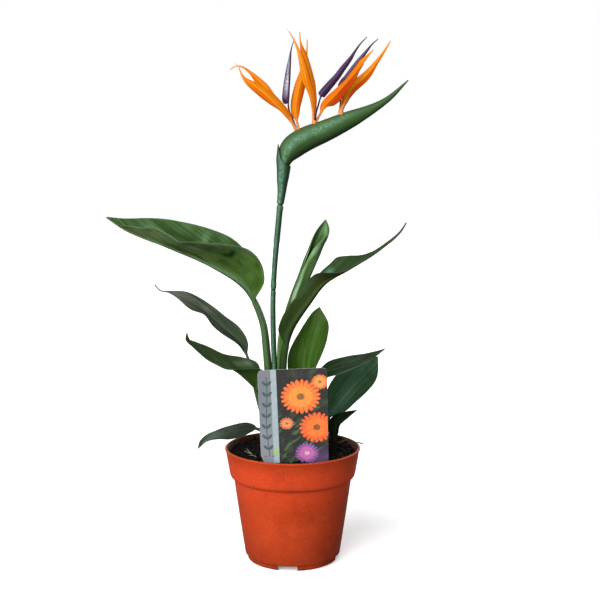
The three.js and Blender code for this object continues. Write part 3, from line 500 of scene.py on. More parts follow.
            "upper": [(0.007, 0.022, 0.006), (0.009, 0.022, 0.008)],
            "under": [(0.019, 0.038, 0.004), (0.068, 0.08, 0.026)], "pale": (0.038, 0.06, 0.026),
            "deep": (0.011, 0.024, 0.005), "shine": (0.06, 0.15, 0.09), "gloss": 0.1, "edge": (0.07, 0.1, 0.05),
            "stalk": [(0.028, 0.066, 0.023), (0.023, 0.05, 0.015)],
        },
    },
    "leaf_07_short_upright": {
        "rib": [[10, 6, 100], [11, 12, 160], [13, 19, 225], [14, 21, 250], [17, 22, 269], [21, 22, 288],
                [26, 21, 303], [34, 19, 316]],
        "bladeFrom": 0.43, "stalk": [5, 3.5, 0.8],
        "face": [[0, -1, 0.2]],
        "left": {"width": [3, 7, 11, 14.5, 17.5, 19.5, 20.5, 20.5, 19.5, 17.5, 15, 12, 9.5, 7, 5, 3.5, 0.6],
                 "lift": [20, 20, 15, 10, 10, 10, 10]},
        "right": {"width": [3, 5.5, 7.8, 9.8, 12, 14.5, 17.2, 20, 22, 23.6, 24.8, 25.4, 25.2, 24.3, 22.6, 18.5, 0.6],
                  "lift": [20, 20, 15, 10, 10, 10, 10]},
        "sheenShadeAndToneMarks": [[0, 0.36, 0.08, 0.3, 0.12, 0.4], [1, 0.78, 0.55, 0.15, 0.12, 0.35],
                  [1, 0.6, 0.97, 0.4, 0.22, -0.8], [0, 0.96, 0.3, 0.1, 0.6, 0.4],
                  [-1, 0.4, 0.8, 0.35, 0.35, -0.85], [1, 0.35, 0.1, 0.3, 0.05, -0.4],
                  [1, 0.5, 0.5, 0.25, 0.1, 0.2], [1, 0.35, 0.28, 0.25, 0.08, -0.3]],
        "look": {
            "upper": [(0.025, 0.068, 0.003), (0.034, 0.088, 0.005)],
            "under": [(0.034, 0.08, 0.01), (0.045, 0.07, 0.02)], "pale": (0.06, 0.115, 0.022),
            "deep": (0.014, 0.04, 0.003), "shine": (0.085, 0.15, 0.05), "slant": 0.03, "streak": 0.8, "gloss": 0.1,
            "edge": (0.13, 0.18, 0.09), "stalk": [(0.035, 0.075, 0.025), (0.04, 0.085, 0.03)],
        },
    },
    "leaf_08_level_right": {
        "rib": [[25, -8, 100], [27, -10, 170], [30, -12, 223], [35, -14, 234], [45, -17, 241], [60, -20, 246],
                [74, -23, 251], [89, -26, 257], [103, -28, 265], [113, -29, 271]],
        "bladeFrom": 0.56, "stalk": [4.5, 2.8, 0.6],
        "face": [[0, -0.2, 1]],
        "left": {"width": [2.5, 14, 18, 17, 11, 0.6], "lift": [32, 30, 22, 15, 8, 0]},
        "right": {"width": [2.5, 13, 17, 16, 10, 0.6], "lift": [-15, -12, -5, 0, 0, 0]},
        "sheenShadeAndToneMarks": [[-1, 0.55, 0.5, 0.14, 0.3, 0.12], [1, 0.5, 0.95, 0.35, 0.05, 0.5],
                  [1, 0.2, 0.5, 0.15, 0.4, -0.5]],
        "look": {**dimLook, "upper": [(0.005, 0.012, 0.004), (0.01, 0.018, 0.007)]},
    },
    "leaf_09_broad_right": {
        "rib": [[40, 12, 100], [41, 13, 145], [46, 16, 178], [58, 18, 197], [73, 20, 215], [87, 22, 229],
                [98, 24, 240], [108, 25, 252]],
        "bladeFrom": 0.42, "stalk": [4.5, 3, 0.6],
        "face": [[-0.2, -1, 0.4]],
        "left": {"width": [2.5, 16, 22, 22, 14, 0.6], "lift": [10, 10, 10, 10, 10, 10]},
        "right": {"width": [2.5, 16, 20, 22, 18, 0.6], "lift": [10, 10, 10, 10, 10, 10]},
        "sheenShadeAndToneMarks": [[1, 0.4, 0.34, 0.22, 0.12, 0.6], [1, 0.36, 0.6, 0.2, 0.05, 0.5], [-1, 0.4, 0.2, 0.2, 0.12, 0.4],
                  [1, 0.5, 1, 0.5, 0.14, -0.6], [-1, 0.5, 1, 0.5, 0.25, -0.8]],
        "look": {
            **dimLook, "upper": [(0.02, 0.06, 0.026), (0.018, 0.055, 0.026)], "pale": (0.042, 0.085, 0.052),
            "deep": (0.006, 0.016, 0.006), "shine": (0.085, 0.13, 0.1), "slant": 0.04, "gloss": 0.07,
        },
    },
    "leaf_10_over_right_rim": {
        "rib": [[50, -4, 100], [52, -5, 140], [53, -6, 160], [57, -6, 172], [67, -5, 180], [80, -4, 189]],
        "bladeFrom": 0.5, "stalk": [5.5, 4, 0.6],
        "face": [[0, -0.3, 1]],
        "left": {"width": [2.5, 10, 12, 8, 0.6], "lift": [40, 40, 30, 20, 20]},
        "right": {"width": [2.5, 6, 6, 4, 0.6], "lift": [20, 15, 10, 10, 0]},
        # near-black colours: painted shade for a leaf and stalk that lie in shadow
        "look": {
            "upper": [(0.003, 0.005, 0.0025), (0.003, 0.006, 0.0025)],
            "under": [(0.007, 0.012, 0.005), (0.008, 0.014, 0.006)], "pale": (0.02, 0.03, 0.016),
            "deep": (0.004, 0.006, 0.003), "shine": (0.05, 0.06, 0.04), "edge": (0.02, 0.03, 0.015),
            "stalk": [(0.004, 0.002, 0.0015), (0.005, 0.004, 0.002)], "gloss": 0.02,
        },
    },
}
leafBuild = {
    "columns": 16, "stalkRows": 30, "bladeRows": 120, "ribColumns": 0.28, "sheetFrom": 0.08,
    "sheet": 0.6, "edge": 0.28, "channel": 0.4, "groove": 0.5, "wave": 0.7, "ripple": 0.22,
}
petalBuild = {
    "columns": 9, "stalkRows": 8, "bladeRows": 60, "ribColumns": 0.25, "sheetFrom": 0.08,
    "sheet": 0.7, "edge": 0.3, "channel": 0.0, "groove": 0.2, "wave": 0.25, "ripple": 0.0,
}
bladeRules = {  # how every blade's grid is spread and roughened
    "tipCrowding": 0.25, "edgeCrowding": 1.15, "ribReach": 1.25, "ribLimit": 0.6, "frontRib": 0.45, "backRib": 1.05,
    "wavePitch": (0.03, 1.5, 7.3), "fullWaveWidth": 12, "ripplePitch": (0.09, 6, 3.1),
}
# the third layer holds the rib share and the sum of the listed spots: painted sheen and painted shade, with a few
# real colour patches
bladeLayers = ["leafPlace", "leafSide", "leafSheenShadeAndTone"]


def spotSum(spots, side, along, share):  # what the listed soft spots add up to at one place
    total = 0.0
    for spotSide, spotAlong, spotShare, long, wide, amount in spots:
        if spotSide * side >= 0:
            total += amount * math.exp(-((along - spotAlong) / long) ** 2 - ((share - spotShare) / wide) ** 2)
    return total


def bladeNoise(pitch, far, share, seed):  # a smooth random number from -1 to 1 at a place on a blade
    return noise.noise(Vector((far * pitch[0], share * pitch[1], seed * pitch[2])))


def bladeMesh(bm, blade, build, seed, rules=bladeRules):  # a stalk that opens into a folded, curled sheet
    rail = Rail(blade["rib"])
    start = blade["bladeFrom"]
    stops = [start * k / build["stalkRows"] for k in range(build["stalkRows"])]
    for k in range(build["bladeRows"] + 1):
        t = k / build["bladeRows"]
        stops.append(lerp(start, 1, t * (1 - rules["tipCrowding"] * t) / (1 - rules["tipCrowding"])))
    half = build["columns"]
    shares = [k / half for k in range(-half, half + 1)]
    shares = [math.copysign(1 - (1 - abs(c)) ** rules["edgeCrowding"], c) for c in shares]
    rows = gridVerts(bm, 2 * len(shares), len(stops) - 1)
    placeLayer, sideLayer, sheenShadeAndToneLayer = [bm.verts.layers.float_vector[key] for key in bladeLayers]
    faces, inner = blade["face"], build["ribColumns"]
    foot, neck, tip = blade["stalk"]
    dents, sheenShadeAndToneMarks = blade.get("dents", []), blade.get("sheenShadeAndToneMarks", [])
    for row, u in zip(rows, stops):
        b = max(0.0, (u - start) / (1 - start))
        flat = ease(b, 0, build["sheetFrom"])
        forward = rail.heading(u)
        face = Vector([alongStations([p[k] for p in faces], b) for k in range(3)]).normalized()
        right = forward.cross(face).normalized()
        up = right.cross(forward)
        radius = lerp(lerp(foot, neck, min(1, u / start)), tip, math.sqrt(b))
        dip = radius * lerp(build["channel"] * ease(u / start, 0.1, 0.9), build["groove"], flat)
        upper, lower = [], []
        for c in shares:
            side = blade["left"] if c < 0 else blade["right"]
            share, out = abs(c), (math.copysign(1, c) if c else 0)
            width = max(radius, alongStations(side["width"], b))
            ribReach = min(rules["ribReach"] * radius, rules["ribLimit"] * width)
            if share < inner:
                spread = ribReach * share / inner
            else:
                spread = lerp(ribReach, width, (share - inner) / (1 - inner))
            reach = lerp(radius * math.sin(share * math.pi / 2), spread, flat)
            lift = math.radians(alongStations(side["lift"], b)) * flat
            turn = math.radians(alongStations(side.get("curl", [0]), b)) * flat * reach / max(1e-6, width)
            tilt = lift + turn
            if abs(turn) > 1e-3:
                across = reach * (math.sin(tilt) - math.sin(lift)) / turn
                rise = reach * (math.cos(lift) - math.cos(tilt)) / turn
            else:
                across, rise = reach * math.cos(lift), reach * math.sin(lift)
            normal = (up * math.cos(tilt) - right * out * math.sin(tilt)).normalized()
            middle = rail.at(u) + right * out * across + up * rise
            barb = blade.get("barb", 0) * share * (1 + blade.get("hook", 0) * (1 - share))
            middle -= forward * barb * flat * (1 - b) ** 3
            far = u * rail.length
            wave = build["wave"] * share ** 1.5 * min(1, width / rules["fullWaveWidth"])
            wave *= bladeNoise(rules["wavePitch"], far, c, seed)
            ripple = build["ripple"] * share * bladeNoise(rules["ripplePitch"], far, c, seed)
            middle += normal * flat * (wave + ripple + spotSum(dents, out, b, share))
            round_ = math.sqrt(max(0, radius * radius - reach * reach))
            sheet = lerp(build["sheet"], build["edge"], ease(share, 0.9, 1)) / 2
            hollow = dip * math.exp(-(reach / (0.7 * radius + 0.01)) ** 2)
            top = lerp(round_, max(sheet, rules["frontRib"] * round_), flat) - hollow
            under = lerp(round_, max(sheet, rules["backRib"] * round_), flat)
            top, under = max(top, sheet - hollow), max(under, sheet)
            facts = (out * reach, (u - start) * rail.length, share)
            # the rib share, then what the listed spots add up to here: painted sheen where plus, painted shade where
            # minus
            sheenShadeAndTone = (reach / radius, spotSum(sheenShadeAndToneMarks, out, b, share), 0)
            upper.append((middle + normal * top, facts, (1, flat, b), sheenShadeAndTone))
            lower.append((middle - normal * under, facts, (0, flat, b), sheenShadeAndTone))
        ring = upper + lower[::-1]
        ring.append(ring[0])
        for vert, (point, facts, sideFacts, sheenShadeAndTone) in zip(row, ring):
            vert.co = fromPot(point)
            vert[placeLayer], vert[sideLayer], vert[sheenShadeAndToneLayer] = facts, sideFacts, sheenShadeAndTone
    return rows


def layeredMesh():  # an empty bmesh with the layers that the blades' finishes read
    bm = bmesh.new()
    for key in bladeLayers:
        bm.verts.layers.float_vector.new(key)
    return bm


def bladePiece(name, parts, build, material, nodes):  # one or more blades in one piece
    bm = layeredMesh()
    closeRolls(bm, [bladeMesh(bm, part, build, len(name) + number) for number, part in enumerate(parts)])
    return pieceOf(name, bm, material, nodes)


def leafFinish(name, look):
    f = Finish(name, shine=(0.6, 0.95, 0.45), Specular_IOR_Level=look.get("gloss", 0.16))
    rib, run, share = f.stored("leafPlace")
    upper, sheet, along = f.stored("leafSide")
    ribShare, sheenShadeAndTone, _ = f.stored("leafSheenShadeAndTone")
    pale, deep, streak = look["pale"], look["deep"], look.get("streak", 0.5)
    half = rib.rise(-0.5, 0.5) * 7 + upper * 3
    drift, mottle, grit = f.grain(35, 2), f.grain(55, 4, 0.6), f.grain(480, 2, 0.6)
    slant = rib.size() - run * look.get("slant", 0.27)  # constant along a vein
    broad = f.streaks(slant * 0.17 + drift, run * 0.012, half)
    narrow = f.streaks(slant * 0.7 + drift, run * 0.02, half + 20)
    middle = f.streaks(slant * 0.36 + drift, run * 0.015, half + 40)
    veins = ((slant + drift * 3) * (math.tau / 1.5)).sine() * 0.5 + 0.5
    uneven = 0.45 + narrow * 0.7 + mottle * 0.4
    blade = f.layers(
        f.blend(upper, f.blend(along, *look["under"]), f.blend(along, *look["upper"])),
        (broad.rise(0.48, 0.72) * streak, pale),
        ((1 - broad).rise(0.5, 0.75) * streak, deep),
        (middle.rise(0.52, 0.72) * streak * 0.6, pale),
        ((1 - middle).rise(0.5, 0.7) * streak * 0.8, deep),
        (narrow.rise(0.5, 0.75) * streak * 0.6, pale),
        (mottle.rise(0.5, 0.75) * 0.5, deep),
        (veins * 0.2, deep),
        (grit.rise(0.52, 0.72) * 0.3, pale),
        ((1 - grit).rise(0.52, 0.72) * 0.3, deep),
        ((1 - ribShare.rise(0.5, 1.0)) * 0.3, pale),
        (share.rise(0.955, 0.99) * 0.5, look["edge"]),
        # painted sheen where the spots add up above nothing, painted shade where below, broken up by the streaks
        ((sheenShadeAndTone * uneven).share(), look["shine"]),
        ((0 - sheenShadeAndTone * uneven).share(), deep))
    lines = f.streaks(rib * 1.1, run * 0.01, upper * 3, 2, 0.6)
    stalk = f.layers(
        f.blend(run.rise(-150, -10), *look["stalk"]),
        (lines.rise(0.4, 0.7) * 0.35, pale),
        (mottle.rise(0.55, 0.8) * 0.35, deep))
    roughness = 0.36 + 0.2 * mottle + (1 - upper) * 0.08
    relief = veins * sheet * 0.35 + narrow * sheet * 0.5 + mottle * 0.7 + lines * (1 - sheet) * 0.6
    return f.finishWith(f.blend(sheet, stalk, blade), roughness, relief, 0.0005, 0.55)


for name, shape in leafShapes.items():
    leafSkin = leafFinish("leaf skin " + name[5:7], shape["look"])
    bladePiece("blade_" + name, [shape], leafBuild, leafSkin, [name])
print("leaves made:", len(leafShapes))


# Flower stem, spathe and sheath bract

flowerDepth = -4.0
# in these shapes pale is the colour of the painted sheen (and of the stem's swollen joints), and deep that of the
# painted shade, the fine lines and the mottle (and of the stem's narrow joints)
stemShape = {
    "path": [[-19, 100], [-21, 202], [-22.4, 245], [-23.6, 277], [-24, 329], [-21.4, 376], [-17, 423],
             [-14.6, 447], [-12.8, 462], [-12, 473]],
    "radius": [3.6, 3.4, 3.2, 3.2, 3.3, 3.4, 3.3, 3.3, 3.6, 3.7, 3.5], "rows": 320, "around": 32,
    "joints": [[346.3, 0.5, 4.0], [340.2, -0.55, 1.4], [441.0, 0.45, 3.2], [445.3, -0.9, 1.4], [230, 0.25, 3],
               [225.5, -0.3, 1.3]],
    "colour": (0.03, 0.075, 0.038), "dark": (0.02, 0.055, 0.027), "pale": (0.08, 0.165, 0.1),
    "deep": (0.006, 0.018, 0.009), "ridges": 9, "sheen": 0.72, "sheenWide": 40.0, "sheenAt": (68, 0), "fade": 0,
    "shadeFrom": (92.0, 145.0),
}
spatheShape = {
    "path": [[-12, 473.4], [-11.6, 482], [-11, 492], [-7.5, 504], [1, 515], [17, 525], [37.5, 533.5], [62, 544.5],
             [98, 561.5], [117, 573.5], [140, 595]],
    "high": [3.4, 7.6, 14, 14.8, 13.6, 12.2, 10.2, 7, 4.3, 2.6, 0.7],
    "wide": [3.4, 6.2, 9, 9.2, 8.6, 7.8, 6.6, 5.2, 3.6, 2.2, 0.7], "rows": 120, "around": 48,
    "colour": (0.045, 0.098, 0.028), "dark": (0.025, 0.06, 0.015), "pale": (0.092, 0.19, 0.12),
    "deep": (0.012, 0.028, 0.005), "ridges": 16, "sheen": 0.85, "sheenWide": 32.0, "sheenAt": (86, -38), "fade": 1.0,
    "shadeFrom": (88.0, 140.0), "seam": (0.02, 0.012, 0.008), "red": (0.11, 0.018, 0.012),
    "keel": (0.006, 0.011, 0.004),
}
sheathShape = {
    "path": [[-14.8, 446], [-12.8, 462], [-12, 474], [-11.2, 482], [-10.6, 490], [-10.2, 500], [-8.8, 508],
             [-7.4, 517]],
    "radius": [4.2, 4.9, 5.8, 7.2, 8.2, 9.2, 10, 10.4], "rows": 60, "around": 48, "mouthSteps": 200,
    "mouth": [[-17.6, 519], [-16, 512], [-15.2, 506], [-13.6, 500.5], [-11, 497], [-7, 494.3], [-3, 492.6],
              [14, 489]],
    "colour": (0.033, 0.08, 0.042), "dark": (0.02, 0.052, 0.026), "pale": (0.115, 0.225, 0.155),
    "deep": (0.008, 0.022, 0.011), "ridges": 12, "sheen": 0.7, "sheenWide": 44.0, "sheenAt": (68, 0), "fade": 0,
    "shadeFrom": (92.0, 150.0), "mouthEdge": (0.012, 0.014, 0.007), "thickness": 0.0007,
}


def flowerRail(path):  # a path in the flower's upright plane
    return Rail([(x, flowerDepth, z) for x, z in path])


def onTube(rail, u, angle, high, wide):  # a place on a round or oval tube, its upper side at angle 0
    forward = rail.heading(u)
    across = (Vector((0, 1, 0)) - forward * forward.y).normalized()
    up = forward.cross(across)
    return rail.at(u) + up * (math.cos(angle) * high) - across * (math.sin(angle) * wide)


def tubePiece(name, shape, high, wide, material, nodes):
    rail, count, around = flowerRail(shape["path"]), shape["rows"], shape["around"]
    bm = layeredMesh()
    rows = gridVerts(bm, around, count)
    placeLayer = bm.verts.layers.float_vector["leafPlace"]
    for k, row in enumerate(rows):
        u = k / count
        highHere, wideHere = high(u), wide(u)
        for j, vert in enumerate(row):
            angle = math.tau * j / around
            vert.co = fromPot(onTube(rail, u, angle, highHere, wideHere))
            vert[placeLayer] = (math.degrees(angle), u * rail.length, u)
    closeRolls(bm, [rows])
    return pieceOf(name, bm, material, nodes)


def skinFinish(name, shape, coatsOf, depth=0.0004, strength=0.5):  # the waxy skin of stem, bract and spathe, with a painted sheen band, painted glints in it and painted shade on the side away from the light
    f = Finish(name, shine=(0.6, 1.0, 0.75), Specular_IOR_Level=0.2)
    angle, run, share = f.stored("leafPlace")
    turn = angle * (math.pi / 180)
    x, y = turn.sine() * shape["ridges"], turn.cosine() * shape["ridges"]
    mottle, specks = f.grain(60, 4, 0.6), f.grain(650, 3, 0.65)
    lines = f.streaks(x, y, run * 0.02, 3, 0.6)
    fineLines = f.streaks(x * 2.6, y * 2.6, run * 0.03, 2, 0.6)
    blotches, fromTop = f.grain(230, 4, 0.7), angle.least(360 - angle)
    front = fromTop + (f.streaks(x * 0.1, y * 0.1, run * 0.05) - 0.5) * 24
    # the sheen band: painted sheen round an angle that moves along the length, fading along it where the shape asks
    sheenAt = shape["sheenAt"][0] + share * shape["sheenAt"][1]
    band = (1 - (front - sheenAt).size().rise(0.0, shape["sheenWide"])) * (1 - share.rise(0.35, 0.9) * shape["fade"])
    sheen = band * (0.25 + blotches.rise(0.4, 0.62) * 0.75)
    colour = f.layers(
        f.blend(lines.rise(0.35, 0.65), shape["dark"], shape["colour"]),
        (fineLines.rise(0.55, 0.75) * 0.4, shape["deep"]),
        ((sheen * shape["sheen"]).share(), shape["pale"]),
        # painted glints within the sheen band
        (band * specks.rise(0.54, 0.66) * 0.8, [1.7 * v for v in shape["pale"]]),
        # painted shade on the side turned away from the light
        (front.rise(*shape["shadeFrom"]) * 0.85, shape["deep"]),
        (mottle.rise(0.5, 0.75) * 0.3, shape["deep"]),
        *coatsOf(shape, fromTop, run, share))
    relief = lines * 0.8 + specks * 0.5 + mottle * 0.5
    return f.finishWith(colour, 0.36 + 0.2 * mottle, relief, depth, strength)


def stemCoats(shape, fromTop, run, share):
    # painted shade along the edge at angle 0, the stem's left side
    coats = [((1 - fromTop.rise(4.0, 42.0)) * 0.7, shape["deep"])]
    for height, swell, spread in shape["joints"]:
        place = (height - shape["path"][0][1]) * 1.002
        near = 1 - ((run - place).size() / (spread * 1.3)).rise(0.3, 1.0)
        coats.append((near * 0.8, shape["deep"]) if swell < 0 else (near * 0.3, shape["pale"]))
    return coats


def spatheCoats(shape, fromTop, run, share):
    seam = 1 - fromTop.rise(12.0, 32.0)
    # painted shade from the middle of the length to near the tip, against the light on its upper side
    return [(share.rise(0.45, 0.7) * (1 - share.rise(0.8, 0.95)) * 0.7, shape["dark"]),
            (seam * 0.85, shape["seam"]),
            (seam * run.rise(35, 60) * (1 - run.rise(110, 135)) * 0.6, shape["red"]),
            # painted shade along the keel, the underside
            (fromTop.rise(128.0, 168.0) * 0.8, shape["keel"])]


def sheathCoats(shape, fromTop, run, share):
    # painted shade along the edge at angle 0, the sheath's left side
    return [((1 - fromTop.rise(4.0, 40.0)) * 0.6, shape["deep"]),
            (share.rise(0.955, 1.0) * 0.85, shape["mouthEdge"])]


def stemRadius(u):
    height = lerp(stemShape["path"][0][1], stemShape["path"][-1][1], u)
    swell = sum(size * math.exp(-((height - place) / spread) ** 2) for place, size, spread in stemShape["joints"])
    return alongStations(stemShape["radius"], u) + swell


stemSkin = skinFinish("flower stem skin", stemShape, stemCoats)
spatheSkin = skinFinish("spathe skin", spatheShape, spatheCoats, 0.0005, 0.55)
tubePiece("scape", stemShape, stemRadius, stemRadius, stemSkin, ["flower_stem"])
tubePiece("spathe_boat", spatheShape, lambda u: alongStations(spatheShape["high"], u),
          lambda u: alongStations(spatheShape["wide"], u), spatheSkin, ["spathe"])


def sheathMouthLine(z):  # how far right the bract reaches at a height, where its mouth is cut
    line = sheathShape["mouth"]
    if z <= line[-1][1]:
        return 1e3
    for (x1, z1), (x0, z0) in zip(line, line[1:]):
        if z0 <= z <= z1:
            return lerp(x0, x1, (z - z0) / (z1 - z0))
    return -1e3


def makeSheath(shape):  # a thin wrapping leaf with a slanted, pointed mouth
    rail, count, around = flowerRail(shape["path"]), shape["rows"], shape["around"]
    bm = layeredMesh()
    rows = gridVerts(bm, around, count)
    placeLayer = bm.verts.layers.float_vector["leafPlace"]

    def onSheath(u, angle):
        radius = alongStations(shape["radius"], u)
        return onTube(rail, u, angle, radius, radius)

    for j in range(around + 1):
        angle = math.tau * j / around
        for k in range(shape["mouthSteps"], 0, -1):  # walks down until it is inside the mouth's line
            top = k / shape["mouthSteps"]
            point = onSheath(top, angle)
            if point.x < sheathMouthLine(point.z):
                break
        for i, row in enumerate(rows):
            u = top * i / count
            row[j].co = fromPot(onSheath(u, angle))
            row[j][placeLayer] = (math.degrees(angle), u * rail.length, i / count)
    closeRolls(bm, [rows], ends=False)
    sheath = pieceOf("sheath", bm, skinFinish("sheath skin", shape, sheathCoats), ["sheath_bract"])
    thick = sheath.modifiers.new("thickness", "SOLIDIFY")
    thick.thickness, thick.offset = shape["thickness"], -1
    applyModifiers(sheath)
    return sheath


makeSheath(sheathShape)
print("flower stem, spathe and sheath made")


# Florets

petalFace = [[0, -1, 0.2]]


def sepal(left, right, lift, rib, sheenShadeAndToneMarks=()):
    return {"rib": rib, "bladeFrom": 0.09, "stalk": [1.7, 1.5, 0.4], "face": petalFace, "sheenShadeAndToneMarks": sheenShadeAndToneMarks,
            "left": {"width": left, "lift": [lift]}, "right": {"width": right, "lift": [lift]}}


def arrow(left, right, bladeFrom, rib, sheenShadeAndToneMarks=(), hook=0):
    return {"rib": rib, "bladeFrom": bladeFrom, "stalk": [1.1, 1.0, 0.4], "face": petalFace, "sheenShadeAndToneMarks": sheenShadeAndToneMarks,
            "left": {"width": left, "lift": [-25]}, "right": {"width": right, "lift": [-25]}, "barb": 5, "hook": hook}


